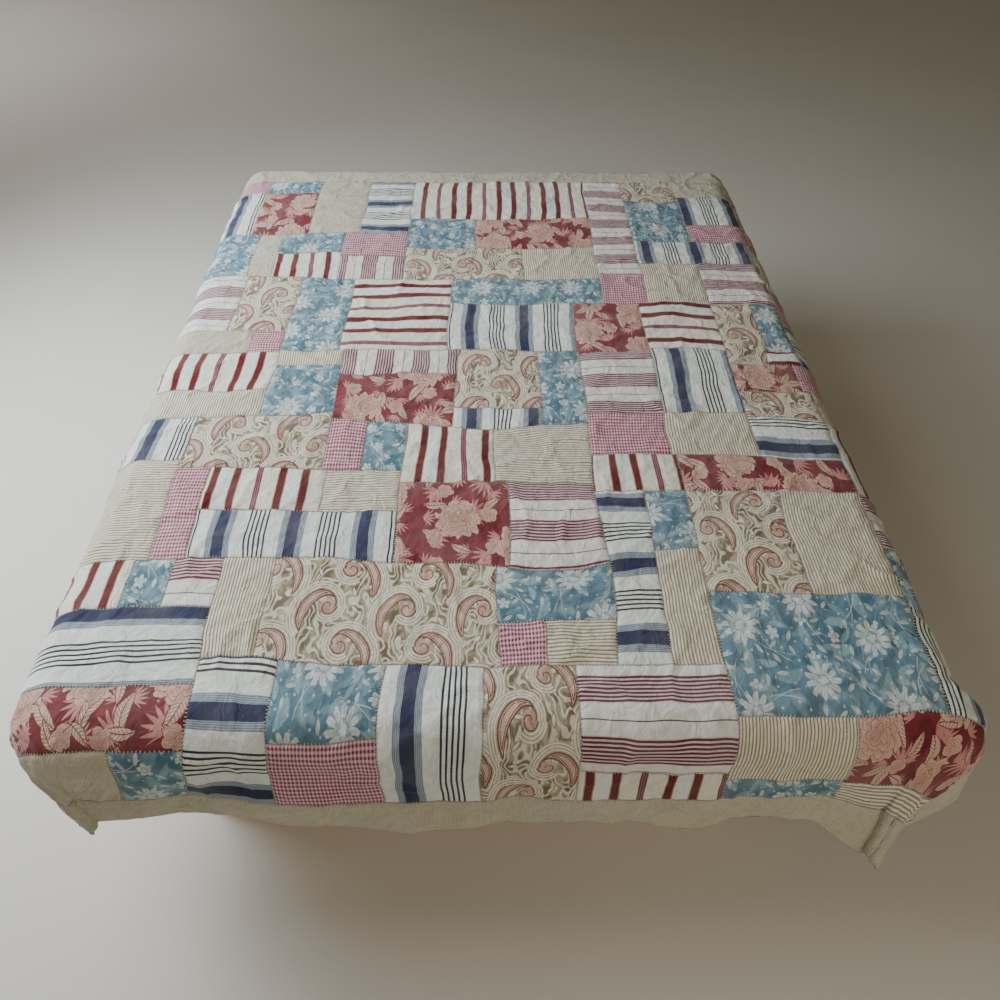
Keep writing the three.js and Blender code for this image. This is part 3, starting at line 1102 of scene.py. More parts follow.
@dataclass(frozen=True)
class BlueFlowers(Fabric):
    """White daisies, buds, leaves, stems and dots over pale foliage on slate blue."""

    ground: Colour = linear(103, 144, 168)
    deep: Colour = linear(74, 116, 138)
    foliage: Colour = linear(170, 204, 216)
    white: Colour = linear(244, 250, 248)

    def paint(self, g: Graph, x: Term, y: Term) -> Socket:
        """Daisies from a petalled outline in polar form, leaves from parabolas, stems from bent lines.

        Args:
            g: the graph.
            x: metres across the print.
            y: metres along the print.

        Returns:
            The colour's socket.
        """
        cloud = g.noise(x * 30.0, y * 30.0, 4.0)
        colour = g.mix(cloud.under(0.5, 0.25), self.ground, self.deep)
        for size, tall, half, wide, seed in (
            (0.05, 0.044, 0.024, 0.0085, 31.0),
            (0.037, 0.04, 0.017, 0.005, 33.0),
        ):
            spot = scatter(g, x, y, size, tall, 0.4, seed)
            shade = leaf(spot.x, spot.y + spot.x * spot.x * 9.0, half, wide, 0.003)
            colour = g.mix(shade * (spot.other * 0.4 + 0.2), colour, self.foliage)
        stem = scatter(g, x, y, 0.075, 0.07, 0.3, 3.0)
        stems = (stem.y - stem.x * stem.x * 8.0).abs().under(0.0008, 0.0008)
        stems = stems.most((stem.y + stem.x * 0.5 - stem.x * stem.x * 7.0).abs().under(0.0007, 0.0008))
        white = stems * stem.x.abs().under(0.03, 0.004) * 0.7
        leaves = scatter(g, x, y, 0.026, 0.023, 0.35, 5.0)
        blade = leaf(leaves.x, leaves.y, 0.0095, 0.003, 0.0012) * leaves.random.under(0.6, 0.01)
        white = white.most(blade * (1.0 - leaves.y.abs().under(0.0005, 0.0004) * 0.5) * 0.9)
        dots = scatter(g, x, y, 0.023, 0.023, 0.5, 7.0)
        dot, _ = polar(g, dots.x, dots.y)
        white = white.most(dot.under(0.0019, 0.0012) * 0.8)
        for size, tall, radius, petals, seed, share in (
            (0.05, 0.053, 0.011, 5.0, 9.0, 0.5),
            (0.112, 0.116, 0.03, 11.0, 2.0, 0.95),
        ):
            spot = scatter(g, x, y, size, tall, 0.34, seed)
            shown = spot.random.under(share, 0.01)
            reach, _ = polar(g, spot.x, spot.y)
            white = white * (1.0 - reach.under(radius * 1.1, radius * 0.2) * shown * 0.85)
            white = white.most(self.daisy(g, spot, radius, petals) * shown)
        worn = g.noise(x * 70.0, y * 70.0, 2.0)
        return g.mix(white * (worn * 0.8 + 0.3), colour, self.white)

    @staticmethod
    def daisy(g: Graph, cell: Cell, size: float, petals: float) -> Term:
        """A daisy: petals under a wavy radius that noise frays, and a pale middle inside a dark ring.

        Args:
            g: the graph.
            cell: the motif's cell.
            size: its radius.
            petals: how many petals.

        Returns:
            1 on the flower.
        """
        reach, angle = polar(g, cell.x, cell.y)
        fray = g.noise(cell.x * 130.0 + cell.random * 9.0, cell.y * 130.0, 2.0) - 0.5
        reach = reach + fray * (size * 0.5)
        wave = (angle * (petals / 2)).cos().abs()
        flower = reach.under((wave.power(0.65) * 0.66 + 0.34) * size, size * 0.12)
        ring = (reach - size * 0.3).abs().under(size * 0.06, size * 0.06)
        return flower * (1.0 - ring * 0.7) * (1.0 - wave.power(40.0) * 0.3)


@dataclass(frozen=True)
class RoseFlowers(Fabric):
    """Large cream blooms and buds among pink sprays of narrow leaves on rose red."""

    ground: Colour = linear(112, 28, 42)
    lift: Colour = linear(150, 60, 74)
    bloom: Colour = linear(228, 194, 178)
    fold: Colour = linear(178, 112, 106)
    line: Colour = linear(116, 48, 50)
    spray: Colour = linear(218, 154, 152)

    def paint(self, g: Graph, x: Term, y: Term) -> Socket:
        """Blooms of rings of scalloped petals, each ring outlined, among fans of spikes and veined leaves.

        Args:
            g: the graph.
            x: metres across the print.
            y: metres along the print.

        Returns:
            The colour's socket.
        """
        cloud = g.noise(x * 24.0, y * 24.0, 3.0)
        colour = g.mix(cloud.under(0.5, 0.25) * 0.6, self.ground, self.lift)
        for size, tall, reach, seed in ((0.052, 0.048, 0.023, 14.0), (0.078, 0.07, 0.034, 4.0)):
            spot = scatter(g, x, y, size, tall, 0.4, seed)
            colour = g.mix(self.fan(g, spot, reach) * 0.88, colour, self.spray)
        for size, tall, half, wide, seed in (
            (0.07, 0.064, 0.03, 0.0095, 6.0),
            (0.056, 0.06, 0.022, 0.007, 16.0),
        ):
            spot = scatter(g, x, y, size, tall, 0.35, seed)
            bent = spot.y + spot.x * spot.x * 7.0
            veins = (spot.x * 1100.0 - bent.abs() * 1000.0).sin().under(-0.5, 0.6) * 0.6
            tone = g.mix(bent.abs().under(0.0007, 0.0006).most(veins), self.bloom, self.line)
            edge = leaf(spot.x, bent, half * 1.06, wide * 1.2, 0.0012) * spot.random.under(0.66, 0.01)
            colour = g.mix(edge * 0.9, colour, self.line)
            colour = g.mix(leaf(spot.x, bent, half, wide, 0.001) * edge, colour, tone)
        bud = scatter(g, x, y, 0.086, 0.08, 0.4, 12.0)
        colour = self.flower(g, bud, 0.0165, colour, 5.0)
        large = scatter(g, x, y, 0.136, 0.13, 0.3, 8.0)
        return self.flower(g, large, 0.042, colour, 11.0)

    @staticmethod
    def fan(g: Graph, cell: Cell, reach: float) -> Term:
        """A spray of narrow spikes out of one point, each a parabola about an equal step of angle.

        Args:
            g: the graph.
            cell: the motif's cell.
            reach: how far the spikes go.

        Returns:
            1 on the spikes.
        """
        away, angle = polar(g, cell.x + reach * 0.5, cell.y)
        step = 0.36
        off = (angle + step / 2).wrap(step) - step / 2
        along = away / (reach * 0.52) - 1.1
        spike = (off * away).abs().under((1.0 - along * along) * (reach * 0.085), 0.0007)
        return spike * angle.abs().under(1.05, 0.02)

    def flower(self, g: Graph, cell: Cell, size: float, under: Socket, petals: float) -> Socket:
        """One bloom laid over a colour: petal rims at falling shares of its radius, ruffled by noise.

        Args:
            g: the graph.
            cell: the motif's cell.
            size: its radius.
            under: the colour that it lies on.
            petals: how many petals the outer ring has.

        Returns:
            The colour's socket.
        """
        ruffle = g.noise(cell.x * 60.0 + cell.random * 9.0, cell.y * 60.0, 1.0) - 0.5
        reach, angle = polar(g, cell.x, cell.y)
        reach = reach + ruffle * (size * 0.34)
        angle = angle + ruffle * 0.7
        colour = under
        for ring, share in enumerate((1.0, 0.79, 0.59, 0.4, 0.22)):
            count = max(petals - 2 * ring, 3.0)
            wave = ((angle * (count / 2)) + ring * 0.9).cos().abs().power(0.55)
            rim = (wave * 0.28 + 0.72) * (size * share)
            inside = reach.under(rim, size * 0.02)
            line = (reach - rim).abs().under(size * 0.024, size * 0.024)
            depth = (reach / rim).under(0.86, 0.3)
            cleft = wave.under(0.35, 0.2)
            tone = g.mix(depth * 0.55 + cleft * 0.25, self.bloom, self.fold)
            tone = g.mix(line * 0.85, tone, self.line)
            colour = g.mix(inside, colour, tone)
        return colour


@dataclass(frozen=True)
class Paisley(Fabric):
    """Pointed leaves that run into a curl, with echo lines, on tan scrolls."""

    ground: Colour = linear(186, 176, 150)
    dim: Colour = linear(120, 106, 84)
    echo: Colour = linear(240, 236, 222)
    outline: Colour = linear(104, 38, 40)
    filling: Colour = linear(206, 170, 154)
    width: float = 0.134
    height: float = 0.128
    curl: float = 0.0115
    body: float = 0.0098

    def paint(self, g: Graph, x: Term, y: Term) -> Socket:
        """Rows of curled leaves, every other row half a step on and facing the other way.

        Args:
            g: the graph.
            x: metres across the print.
            y: metres along the print.

        Returns:
            The colour's socket.
        """
        flow = g.noise(x * 17.0, y * 14.0, 2.0)
        rows = ((x * 300.0) + flow * 60.0).sin()
        mottle = g.noise(x * 52.0, y * 40.0, 4.0)
        colour = g.mix(mottle.under(0.5, 0.16), self.ground, self.dim)
        colour = g.mix(rows.under(-0.35, 0.5) * 0.8, colour, self.echo)
        colour = g.mix((rows - 0.5).abs().under(0.1, 0.12) * 0.5, colour, self.dim)
        seed = scatter(g, x, y, 0.03, 0.03, 0.3, 21.0)
        spot = leaf(seed.x, seed.y, 0.0105, 0.004, 0.001) * seed.random.under(0.7, 0.01)
        colour = g.mix(spot * 0.75, colour, self.dim)
        colour = g.mix(leaf(seed.x, seed.y, 0.008, 0.0026, 0.0008) * spot, colour, self.echo)
        for step, facing in ((0.0, 1.0), (0.5, -1.0)):
            local_x = (x + self.width * step).wrap(self.width) - self.width * 0.5
            local_y = (y + self.height * step).wrap(self.height) - self.height * 0.5
            colour = self.motif(g, local_x * facing + 0.018, local_y + 0.006, colour)
        return colour

    def motif(self, g: Graph, x: Term, y: Term, under: Socket) -> Socket:
        """One curled leaf laid over a colour.

        Turned from the left over the top, the line's radius grows slowly for one turn, as a curl, and then by
        a fixed share for each radian. There the band opens from a line to a leaf that ends in a point.

        Args:
            g: the graph.
            x: metres across from the curl's middle.
            y: metres along from it.
            under: the colour that it lies on.

        Returns:
            The colour's socket.
        """
        reach, angle = polar(g, x * -1.0, y * -1.0)
        turn = angle.wrap(2 * np.pi)
        spine = g.math("EXPONENT", turn * 0.36) * self.curl + (turn - 2.7).most(0.0).power(2.0) * 0.006
        open_at = ((turn - 0.9) / 3.1).most(0.0).least(1.0)
        half = (open_at * (1.0 - open_at)).most(0.0).power(0.75) * open_at * (self.body * 4.4) + 0.0011
        inner = (turn * 0.17 + 0.24) * self.curl
        open_end = turn.under(4.02, 0.02)
        leaf_gap = (reach - spine).abs() - half + 1.0 - open_end
        curl_gap = (reach - inner).abs() - 0.001
        beyond = reach - open_end * (spine + half) - (1.0 - open_end) * inner
        halo = beyond.under(0.0165, 0.001) * (beyond * -1.0).under(0.0, 0.001)
        colour = g.mix(halo * 0.7, under, self.ground)
        colour = g.mix(halo * (beyond * 1300.0).sin().under(0.1, 0.7), colour, self.echo)
        within = reach.under(self.curl * 1.2, 0.002)
        colour = g.mix(within * 0.8, colour, self.filling)
        inside = leaf_gap.under(0.0, 0.0006)
        tone = g.mix((leaf_gap + 0.0052).abs().under(0.0006, 0.0005), self.filling, self.outline)
        dots = (x * 1300.0).sin() * (y * 1300.0).sin() * leaf_gap.under(-0.0055, 0.0006)
        tone = g.mix(dots.under(-0.3, 0.3) * 0.7, tone, self.echo)
        colour = g.mix(inside, colour, tone)
        rim = (leaf_gap + 0.0012).abs().under(0.0013, 0.0007)
        return g.mix(rim.most(curl_gap.under(0.0, 0.0006)) * 0.92, colour, self.outline)


@dataclass(frozen=True)
class Gingham(Fabric):
    """Fine checks woven from rose and white threads."""

    dark: Colour = linear(116, 2, 48)
    pale: Colour = linear(250, 204, 222)
    pitch_x: float = 0.006
    pitch_y: float = 0.0078

    def paint(self, g: Graph, x: Term, y: Term) -> Socket:
        """Half the threads each way are dyed, so a check is dark, middling or pale.

        Args:
            g: the graph.
            x: metres across the print.
            y: metres along the print.

        Returns:
            The colour's socket.
        """
        warp = (x * (2 * np.pi / self.pitch_x)).sin().under(0.0, 0.7)
        weft = (y * (2 * np.pi / self.pitch_y)).sin().under(0.0, 0.7)
        return g.mix((warp + weft) * 0.5, self.pale, self.dark)


@dataclass(frozen=True)
class Stripes(Fabric):
    """Woven stripes: bands laid over a ground, each with a middle, a half width and a colour."""

    period: float = 0.13
    ground: Colour = linear(222, 230, 228)
    bands: Bands = ()

    def paint(self, g: Graph, x: Term, y: Term) -> Socket:
        """Each band covers where the distance to its middle, in the repeat, is under its half width.

        Args:
            g: the graph.
            x: metres across the stripes.
            y: metres along the stripes.

        Returns:
            The colour's socket.
        """
        wander = (g.noise(x * 4.0, y * 7.0, 1.0) - 0.5) * 0.0035
        colour: Socket | Colour = self.ground
        for middle, half, tone in self.bands:
            away = (x + wander - middle + self.period * 0.5).wrap(self.period) - self.period * 0.5
            colour = g.mix(away.abs().under(half, 0.0007), colour, tone)
        return colour


def repeated(middle: float, pitch: float, count: int, half: float, tone: Colour) -> Bands:
    """A group of equal lines about a middle, a pitch apart, as bands of a striped cloth."""
    return tuple((middle + (i - (count - 1) / 2) * pitch, half, tone) for i in range(count))


# Threads of the striped cloths
INK = linear(20, 24, 48)
NAVY_BAND = linear(40, 50, 88)
PALE_NAVY = linear(122, 136, 158)
RED_BAND = linear(100, 6, 22)
RED_EDGE = linear(198, 152, 126)
MAUVE_BAND = linear(164, 108, 122)
MAUVE_LINE = linear(100, 30, 56)
GREY_LINE = linear(86, 70, 78)
TAN_LINE = linear(152, 138, 104)

FABRICS: dict[Cloth, Fabric] = {
    Cloth.BLUE: BlueFlowers("blue_flowers"),
    Cloth.ROSE: RoseFlowers("rose_flowers"),
    Cloth.PAISLEY: Paisley("tan_paisley"),
    Cloth.GINGHAM: Gingham("rose_gingham"),
    Cloth.NAVY: Stripes(
        "navy_stripes",
        period=0.131,
        ground=linear(238, 246, 244),
        bands=(
            (0.0, 0.0215, linear(180, 192, 204)),
            *repeated(0.0, 0.0027, 16, 0.0008, PALE_NAVY),
            (0.0, 0.0106, NAVY_BAND),
            *repeated(0.0655, 0.0084, 5, 0.0017, INK),
        ),
    ),
    Cloth.RED: Stripes(
        "red_stripes",
        period=0.13,
        ground=linear(242, 240, 228),
        bands=(
            (0.021, 0.0155, linear(238, 242, 246)),
            (0.0, 0.0082, RED_EDGE),
            (0.0, 0.0064, RED_BAND),
            (0.042, 0.0082, RED_EDGE),
            (0.042, 0.0064, RED_BAND),
            (0.086, 0.0058, MAUVE_BAND),
            *repeated(0.086, 0.0038, 3, 0.0009, MAUVE_LINE),
        ),
    ),
    Cloth.MAUVE: Stripes(
        "mauve_stripes",
        period=0.081,
        ground=linear(240, 239, 238),
        bands=(
            (0.02, 0.0205, linear(226, 204, 210)),
            *repeated(0.02, 0.0058, 7, 0.0016, MAUVE_LINE),
            (0.061, 0.0008, GREY_LINE),
        ),
    ),
    Cloth.TICKING: Stripes(
        "cream_ticking",
        period=0.0056,
        ground=linear(240, 237, 224),
        bands=((0.0, 0.0012, TAN_LINE),),
    ),
    Cloth.CREAM: Stripes(
        "cream_plain",
        period=0.0042,
        ground=linear(204, 200, 183),
        bands=((0.0, 0.0007, linear(190, 184, 162)),),
    ),
}


def declare_sheet(obj: Piece, node: str) -> Piece:
    """Hides the CAD node that a piece stands for, and gives the piece back unchanged.

    Args:
        obj: the piece.
        node: the node that it stands for.

    Returns:
        The piece.
    """
    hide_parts(node)
    return obj


@dataclass
class PatchworkFront:
    """The pieced front: one object for each cloth, holding all its patches."""

    drape: Drape
    node: str = "patchwork_front"

    def build(self) -> list[Piece]:
        """Grids each patch between its seams, and lays all patches of a cloth in one object.

        Returns:
            The objects.
        """
        meshes = {cloth: Mesh() for cloth in Cloth}
        areas = {cloth: 0.0 for cloth in Cloth}
        for left, right, head, foot, cloth, run, shift in PATCHES:
            s, t, edge_at = panel(left * MM, right * MM, head * MM, foot * MM)
            points = self.drape.front(*Drape.pulled(s, t), edge_at.min(-1))
            print_at = self.print_at(s - left * MM, t - head * MM, run, shift * MM)
            meshes[cloth].add_grid(points, print_at, edge_at)
            areas[cloth] += (right - left) * (foot - head) * MM * MM
        return [self.dress(cloth, mesh, areas[cloth]) for cloth, mesh in meshes.items()]

    @staticmethod
    def print_at(s: Array, t: Array, run: Run, shift: float) -> Array:
        """Pattern coordinates: across the stripes first, from the patch's corner, moved by its shift.

        Args:
            s: metres across from the patch's left seam.
            t: metres along from its head seam.
            run: which way the stripes run.
            shift: where in the repeat the patch starts.

        Returns:
            Two coordinates for each point.
        """
        if run is Run.ALONG:
            return np.stack([s + shift, t / PRINT_STRETCH + PRINT_SKIP * shift], -1)
        return np.stack([t / PRINT_STRETCH + shift, s + PRINT_SKIP * shift], -1)

    def dress(self, cloth: Cloth, mesh: Mesh, area: float) -> Piece:
        """Args:
            cloth: which cloth.
            mesh: its grids.
            area: the flat area of its patches; not used.

        Returns:
            The object.
        """
        obj = mesh.build(cloth.value, FABRICS[cloth].material())
        return declare_sheet(obj, self.node)


@dataclass
class PlainCloth:
    """The plain cream cloth of the bands, the back and the bag's edge."""

    drape: Drape
    fabric: Fabric = FABRICS[Cloth.CREAM]
    half: float = COVER_WIDTH / 2 * MM
    length: float = COVER_LENGTH * MM
    border: float = BORDER * MM
    tuck_in: float = 0.0004
    edge_steps: int = 7

    def build(self) -> list[Piece]:
        """Builds the two bands, the back and the closed edge.

        Returns:
            The objects.
        """
        material = self.fabric.material()
        material.name = "band_cloth"
        half, length = self.half, self.length
        made = [
            self.band("head_band", "head_border", 0.0, self.border, material),
            self.band("foot_band", "foot_border", length - self.border, length, material),
        ]
        s_lines = np.linspace(-half, half, int(2 * half / BACK_STEP))
        t_lines = np.linspace(0.0, length, int(length / BACK_STEP))
        s, t = np.meshgrid(s_lines, t_lines)
        points = self.drape.at_height(s, t, np.full(s.shape, CLOTH_THICK / 2 * MM))
        back = Mesh()
        back.add_grid(points[:, ::-1], np.stack([s, t], -1))
        self.close_edge(back)
        sewn = back.build("back_cloth", material)
        made.append(declare_sheet(sewn, "back_panel"))
        return made

    def band(self, name: str, node: str, start: float, end: float, material: Material) -> Piece:
        """One plain band across the cover.

        Args:
            name: the object's name.
            node: the node that it stands for.
            start: metres along where it starts.
            end: metres along where it ends.
            material: its material.

        Returns:
            The object.
        """
        s, t, edge_at = panel(-self.half, self.half, start, end)
        mesh = Mesh()
        mesh.add_grid(self.drape.front(s, t, edge_at.min(-1)), np.stack([s, t], -1), edge_at)
        return declare_sheet(mesh.build(name, material), node)

    def close_edge(self, mesh: Mesh) -> None:
        """Adds the bag's sewn edge: a narrow rounded fold right round, from the front down to the back.

        The section is a half circle that stands out from the cut's edge.

        Args:
            mesh: the back's mesh, which it joins.
        """
        half, length = self.half, self.length
        ends = np.array([[-half, 0.0], [half, 0.0], [half, length], [-half, length], [-half, 0.0]])
        counts = (np.abs(np.diff(ends, axis=0)).sum(1) / FRONT_STEP).astype(int)
        sides = [np.linspace(a, b, n)[:-1] for a, b, n in zip(ends[:-1], ends[1:], counts)]
        path = np.concatenate([*sides, ends[:1]])
        turn = np.linspace(0.0, np.pi, self.edge_steps)
        low = CLOTH_THICK / 2 * MM
        high = 2 * CLOTH_THICK * MM - self.tuck_in
        radius = (high - low) / 2
        out = np.sin(turn) * radius
        height = (high + low) / 2 + np.cos(turn) * radius
        share = (path - np.array([0.0, length / 2])) / np.array([half, length / 2])
        push = np.where(np.abs(share) > 1.0 - 1e-6, np.sign(share), 0.0)
        at = path[:, None, :] + push[:, None, :] * out[None, :, None]
        points = self.drape.at_height(at[..., 0], at[..., 1], np.broadcast_to(height, at.shape[:2]))
        mesh.add_grid(points, at)


@dataclass
class Stitches:
    """Ladder stitches along the seams, as short raised threads."""

    drape: Drape
    pitch: float = 0.0056
    long: float = 0.0042
    wide: float = 0.0009
    tall: float = 0.0005
    stray: float = 0.0004
    reach: tuple[float, float] = (0.75, 1.1)
    seed: int = 5

    def build(self) -> Piece:
        """Lays a thread across the seam at each pitch, along the right and foot seam of each patch.

        Returns:
            The object.
        """
        centres: list[Array] = []
        across: list[Array] = []
        for left, right, head, foot, *_ in PATCHES:
            width = (right - left) * MM
            length = (foot - head) * MM
            if right < COVER_WIDTH / 2:
                t = np.arange(self.pitch, length, self.pitch) + head * MM
                centres.append(np.stack([np.full_like(t, right * MM), t], -1))
                across.append(np.tile([1.0, 0.0], (len(t), 1)))
            s = np.arange(self.pitch, width, self.pitch) + left * MM
            centres.append(np.stack([s, np.full_like(s, foot * MM)], -1))
            across.append(np.tile([0.0, 1.0], (len(s), 1)))
        centre = np.concatenate(centres)
        direction = np.concatenate(across)
        rng = np.random.default_rng(self.seed)
        centre = centre + direction * rng.normal(0.0, self.stray, (len(centre), 1))
        side = direction[:, ::-1]
        half_long = direction * self.long / 2 * rng.uniform(*self.reach, (len(centre), 1))
        half_wide = side * self.wide / 2
        back, ahead = centre - half_long, centre + half_long
        corners = np.stack([back - half_wide, ahead - half_wide, ahead + half_wide, back + half_wide], 1)
        s, t = Drape.pulled(corners[..., 0], corners[..., 1])
        seam = np.broadcast_to(self.long / 2, s.shape)
        low = self.drape.front(s, t, seam)
        _, normal = self.drape.base(s, t)
        high = low + normal * self.tall
        low = low - normal * self.tall
        points = np.concatenate([low, high], 1).reshape(-1, 3)
        faces = np.array([[4, 5, 6, 7], [0, 1, 5, 4], [1, 2, 6, 5], [2, 3, 7, 6], [3, 0, 4, 7]])
        quads = (np.arange(len(centre))[:, None, None] * 8 + faces[None]).reshape(-1, 4)
        obj = mesh_object("seam_stitches", points, quads, thread_material())
        return obj


def thread_material() -> Material:
    """Cream sewing thread, a little uneven.

    Returns:
        The material.
    """
    material = bpy.data.materials.new("sewing_thread")
    g = Graph(material)
    x, y, _ = g.object_at()
    tone = g.noise(x * 120.0, y * 120.0, 2.0)
    g.feed(g.shader.inputs["Base Color"], g.mix(tone, linear(168, 160, 150), linear(228, 224, 212)))
    g.finish(Roughness=0.8)
    return material


@dataclass
class Mattress:
    """A sprung mattress with a quilted border and piped edges."""

    node: str = "mattress"
    around: int = 420
    edge: float = 0.058
    girth: float = 7.0
    channel: float = 0.063
    arc_steps: int = 24
    edge_steps: int = 9
    side_steps: int = 14
    face_insets: tuple[float, ...] = (0.5, 0.3, 0.12)
    widest_inset: float = 0.7
    run_length: float = 6.8
    tuft_depth: float = 0.0035
    tuft_reach: float = 0.085
    tuft_fade: float = 3.0
    probe: float = 0.001
    cord_radius: float = 0.0045
    cord_out: float = 0.001
    cord_press: float = 0.8
    cloth: Fabric = Stripes(
        "mattress_cloth",
        period=0.009,
        ground=linear(236, 232, 222),
        bands=((0.0, 0.002, linear(222, 216, 204)),),
    )
    cord_cloth: Fabric = Stripes(
        "piping_cloth",
        period=0.004,
        ground=linear(206, 200, 188),
        bands=((0.0, 0.0008, linear(186, 178, 164)),),
    )

    def outline(self, inset: Array, place: Array) -> Array:
        """A rounded rectangle, walked at even steps, drawn in by an inset.

        The walk goes along each straight side and round each corner in turn.

        Args:
            inset: metres in from the full size, one for each ring.
            place: share of the way round.

        Returns:
            Plan points for each ring and place.
        """
        half = np.array([MATTRESS_WIDTH, MATTRESS_LENGTH]) / 2 * MM
        corner = MATTRESS_CORNER * MM
        straight = half - corner
        turns = np.linspace(0, np.pi / 2, self.arc_steps)
        centres = np.array([[1, 1], [-1, 1], [-1, -1], [1, -1]]) * straight
        quarters = [turns + i * np.pi / 2 for i in range(4)]
        normals = [np.stack([np.cos(quarter), np.sin(quarter)], -1) for quarter in quarters]
        arcs = [centre + corner * normal for centre, normal in zip(centres, normals)]
        path = np.concatenate([*arcs, arcs[0][:1]])
        normal = np.concatenate([*normals, normals[0][:1]])
        run = np.concatenate([[0.0], np.cumsum(np.linalg.norm(np.diff(path, axis=0), axis=1))])
        at = place * run[-1]
        plan = np.stack([np.interp(at, run, path[:, i]) for i in range(2)], -1)
        out = np.stack([np.interp(at, run, normal[:, i]) for i in range(2)], -1)
        return plan[None] - inset[:, None, None] * out[None]

    def build(self) -> list[Piece]:
        """Builds the body ring by ring from its underside to its top, and the two pipings.

        Returns:
            The objects.
        """
        place = np.linspace(0.0, 1.0, self.around)
        low, high = MATTRESS_LOW * MM, MATTRESS_TOP * MM
        turn = np.linspace(0.0, np.pi / 2, self.edge_steps)
        side_z = np.linspace(low + self.edge, high - self.edge, self.side_steps)[1:-1]
        bottom_in = self.edge * (1 - np.sin(turn))
        bottom_z = low + self.edge * (1 - np.cos(turn))
        face = np.array(self.face_insets)
        inset = np.concatenate([face, bottom_in, np.zeros(len(side_z)), bottom_in[::-1], face[::-1]])
        top_z = high - (bottom_z[::-1] - low)
        z = np.concatenate([[low] * len(face), bottom_z, side_z, top_z, [high] * len(face)])
        plan = self.outline(np.minimum(inset, self.widest_inset), place)
        tuft = np.abs(np.sin(place * self.girth / self.channel * np.pi)) ** 0.5
        on_side = np.clip(1.0 - np.abs(z - (low + high) / 2) / self.tuft_reach, 0.0, 1.0)
        soft = self.tuft_depth * (1.0 - tuft)[None] * np.minimum(on_side * self.tuft_fade, 1.0)[:, None]
        outward = self.outline(np.zeros(1), place) - self.outline(np.ones(1) * self.probe, place)
        plan = plan - outward / self.probe * soft[..., None]
        points = np.concatenate([plan, np.broadcast_to(z[:, None, None], (*plan.shape[:2], 1))], -1)
        mesh = Mesh()
        uv = np.stack(np.broadcast_arrays(place[None] * self.run_length, z[:, None]), -1)
        mesh.add_grid(points, uv)
        body = mesh.build("quilted_mattress", self.cloth.material())
        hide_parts(self.node)
        low_cord = self.piping(low + self.edge, "low_piping")
        return [body, low_cord, self.piping(high - self.edge, "high_piping")]

    def piping(self, height: float, name: str) -> Piece:
        """A round cord sewn on the mattress's edge.

        Args:
            height: its height.
            name: the object's name.

        Returns:
            The object.
        """
        place = np.linspace(0.0, 1.0, self.around)
        turn = np.linspace(0.0, 2 * np.pi, self.edge_steps)
        radius = self.cord_radius
        plan = self.outline(-self.cord_out - radius * np.cos(turn) * self.cord_press, place)
        z = np.broadcast_to((height + radius * np.sin(turn))[:, None, None], (*plan.shape[:2], 1))
        mesh = Mesh()
        uv = np.stack(np.broadcast_arrays(place[None] * self.run_length, turn[:, None] * radius), -1)
        mesh.add_grid(np.concatenate([plan, z], -1), uv)
        obj = mesh.build(name, self.cord_cloth.material())
        return obj


@dataclass(frozen=True)
class Wood:
    """Pale oiled wood with long grain."""

    name: str = "pale_wood"
    light: Colour = linear(206, 178, 138)
    dark: Colour = linear(164, 128, 88)

    def material(self) -> Material:
        """Grain from stretched noise along the bed, with fine pores in the roughness and bump.

        Returns:
            The material.
        """
        material = bpy.data.materials.new(self.name)
        g = Graph(material)
        x, y, z = g.object_at()
        across = x + z * 1.7
        wander = g.noise(across * 5.0, y * 1.2, 2.0)
        rings = ((across * 60.0) + wander * 14.0).sin() * 0.5 + 0.5
        pores = g.noise(across * 420.0, y * 9.0, 2.0)
        colour = g.mix(rings * 0.45 + pores * 0.35, self.light, self.dark)
        g.feed(g.shader.inputs["Base Color"], colour)
        g.feed(g.shader.inputs["Roughness"], pores * 0.25 + 0.42)
        g.bump(pores, 0.3, 0.0006)
        return material

    def dress(self, nodes: Sequence[str]) -> None:
        """Gives the wooden nodes the material.

        Args:
            nodes: names of the nodes.
        """
        material = self.material()
        for name in nodes:
            data = bpy.data.objects[name].data
            data.materials.clear()
            data.materials.append(material)


def frame_matrix(x: Array, y: Array, z: Array, place: Sequence[float]) -> Matrix:
    """A matrix from three axes and a place.

    Args:
        x: first axis.
        y: second axis.
        z: third axis.
        place: the origin.

    Returns:
        The matrix.
    """
    columns = np.eye(4)
    columns[:3, 0], columns[:3, 1], columns[:3, 2], columns[:3, 3] = x, y, z, place
    return Matrix([[float(value) for value in row] for row in columns])


@dataclass(frozen=True)
class Lamp:
    """A soft rectangular light: where it hangs, the point that it faces, its size, watts and colour."""

    name: str
    place: Place
    target: Place
    size: tuple[float, float]
    power: float
    colour: Colour

    def build(self) -> None:
        """Hangs the light."""
        data = bpy.data.lights.new(self.name, "AREA")
        data.shape = "RECTANGLE"
        data.size, data.size_y = self.size
        data.energy = self.power
        data.color = self.colour
        obj = bpy.data.objects.new(self.name, data)
        toward = np.array(self.target) - np.array(self.place)
        toward = toward / np.linalg.norm(toward)
        right = np.cross(toward, (0.0, 0.0, 1.0))
        right = right / np.linalg.norm(right)
        up = np.cross(right, toward)
        obj.matrix_world = frame_matrix(right, up, -toward, self.place)
        bpy.context.scene.collection.objects.link(obj)


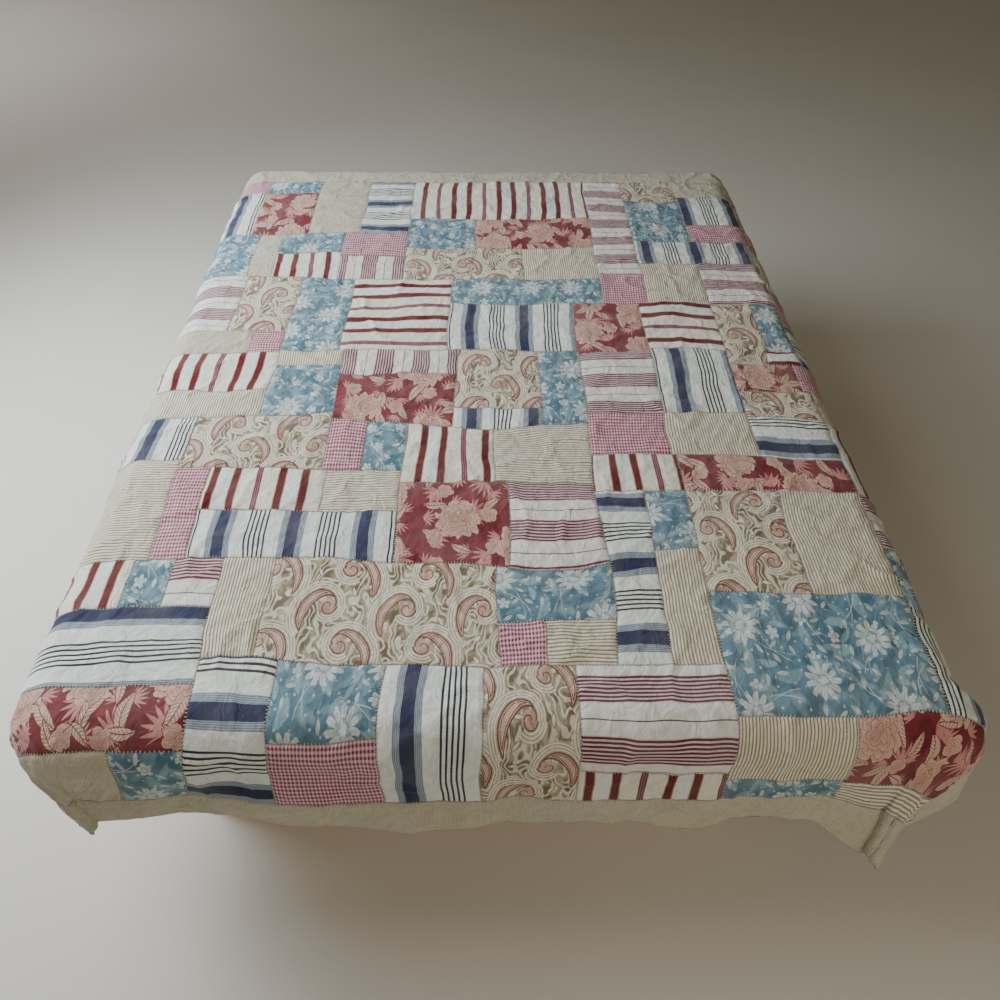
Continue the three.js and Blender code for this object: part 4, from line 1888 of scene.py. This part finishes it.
LAMPS = (
    Lamp("window", (-2.0, 0.45, 1.6), (-0.35, -0.25, 0.5), (1.7, 1.1), 54.0, (0.88, 0.96, 1.0)),
    Lamp("ceiling", (-1.5, -0.2, 2.1), (-0.45, -0.4, 0.5), (1.6, 1.6), 29.0, (0.98, 0.96, 0.92)),
    Lamp("warm_front", (1.0, -2.5, 1.5), (0.45, -0.9, 0.4), (1.5, 1.1), 13.0, (1.0, 0.91, 0.74)),
    Lamp("floor_wash", (-3.6, 3.9, 2.4), (-3.4, 4.4, 0.0), (2.6, 2.2), 46.0, (1.0, 0.97, 0.93)),
)


@dataclass
class Studio:
    """Floor, light and camera."""

    eye: Place = (-0.00789, -1.67494, 1.71748)
    pitch: float = np.radians(44.39)
    yaw: float = np.radians(1.3)
    roll: float = np.radians(0.34)
    focal: float = 0.86
    sensor: float = 36.0
    sky: Colour = (1.0, 0.84, 0.52)
    sky_strength: float = 0.105
    floor_half: float = 9.0

    def build(self) -> None:
        """Makes the floor, the lights, the sky and the camera."""
        self.floor()
        for lamp in LAMPS:
            lamp.build()
        world = bpy.context.scene.world or bpy.data.worlds.new("studio")
        bpy.context.scene.world = world
        world.use_nodes = True
        background = next(n for n in world.node_tree.nodes if n.type == "BACKGROUND")
        background.inputs["Color"].default_value = (*self.sky, 1.0)
        background.inputs["Strength"].default_value = self.sky_strength
        self.camera()

    def floor(self) -> None:
        """A wide pale floor."""
        size = self.floor_half
        mesh = bpy.data.meshes.new("floor")
        corners = [(-size, -size, 0), (size, -size, 0), (size, size, 0), (-size, size, 0)]
        mesh.from_pydata(corners, [], [(0, 1, 2, 3)])
        material = bpy.data.materials.new("floor_paint")
        g = Graph(material)
        x, y, _ = g.object_at()
        tone = g.noise(x * 1.5, y * 1.5, 3.0)
        g.feed(g.shader.inputs["Base Color"], g.mix(tone, linear(222, 220, 216), linear(230, 228, 224)))
        g.finish(Roughness=0.7)
        mesh.materials.append(material)
        obj = bpy.data.objects.new("floor", mesh)
        bpy.context.scene.collection.objects.link(obj)

    def camera(self) -> None:
        """The camera at the photograph's place, turned by yaw, pitch and roll."""
        cos_p, sin_p = np.cos(self.pitch), np.sin(self.pitch)
        toward = np.array([np.sin(self.yaw) * cos_p, np.cos(self.yaw) * cos_p, -sin_p])
        right = np.array([np.cos(self.yaw), -np.sin(self.yaw), 0.0])
        up = np.cross(right, toward)
        cos_r, sin_r = np.cos(self.roll), np.sin(self.roll)
        turned_right = cos_r * right + sin_r * up
        turned_up = cos_r * up - sin_r * right
        data = bpy.data.cameras.new("camera")
        data.sensor_width = self.sensor
        data.lens = self.sensor * self.focal
        obj = bpy.data.objects.new("camera", data)
        obj.matrix_world = frame_matrix(turned_right, turned_up, -toward, self.eye)
        bpy.context.scene.collection.objects.link(obj)
        bpy.context.scene.camera = obj


def main() -> None:
    """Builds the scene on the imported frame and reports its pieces."""
    logging.basicConfig(level=logging.INFO, format="%(message)s")
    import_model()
    Studio().build()
    drape = Drape()
    made = PatchworkFront(drape).build()
    made += PlainCloth(drape).build()
    made.append(Stitches(drape).build())
    made += Mattress().build()
    Wood().dress(("bed_platform", "bed_plinth"))
    total = 0
    for obj in made:
        triangles = 2 * len(obj.data.polygons)
        total += triangles
        LOG.info("%s: %d triangles", obj.name, triangles)
    LOG.info("triangles in all: %d", total)


if __name__ == "__main__":
    main()
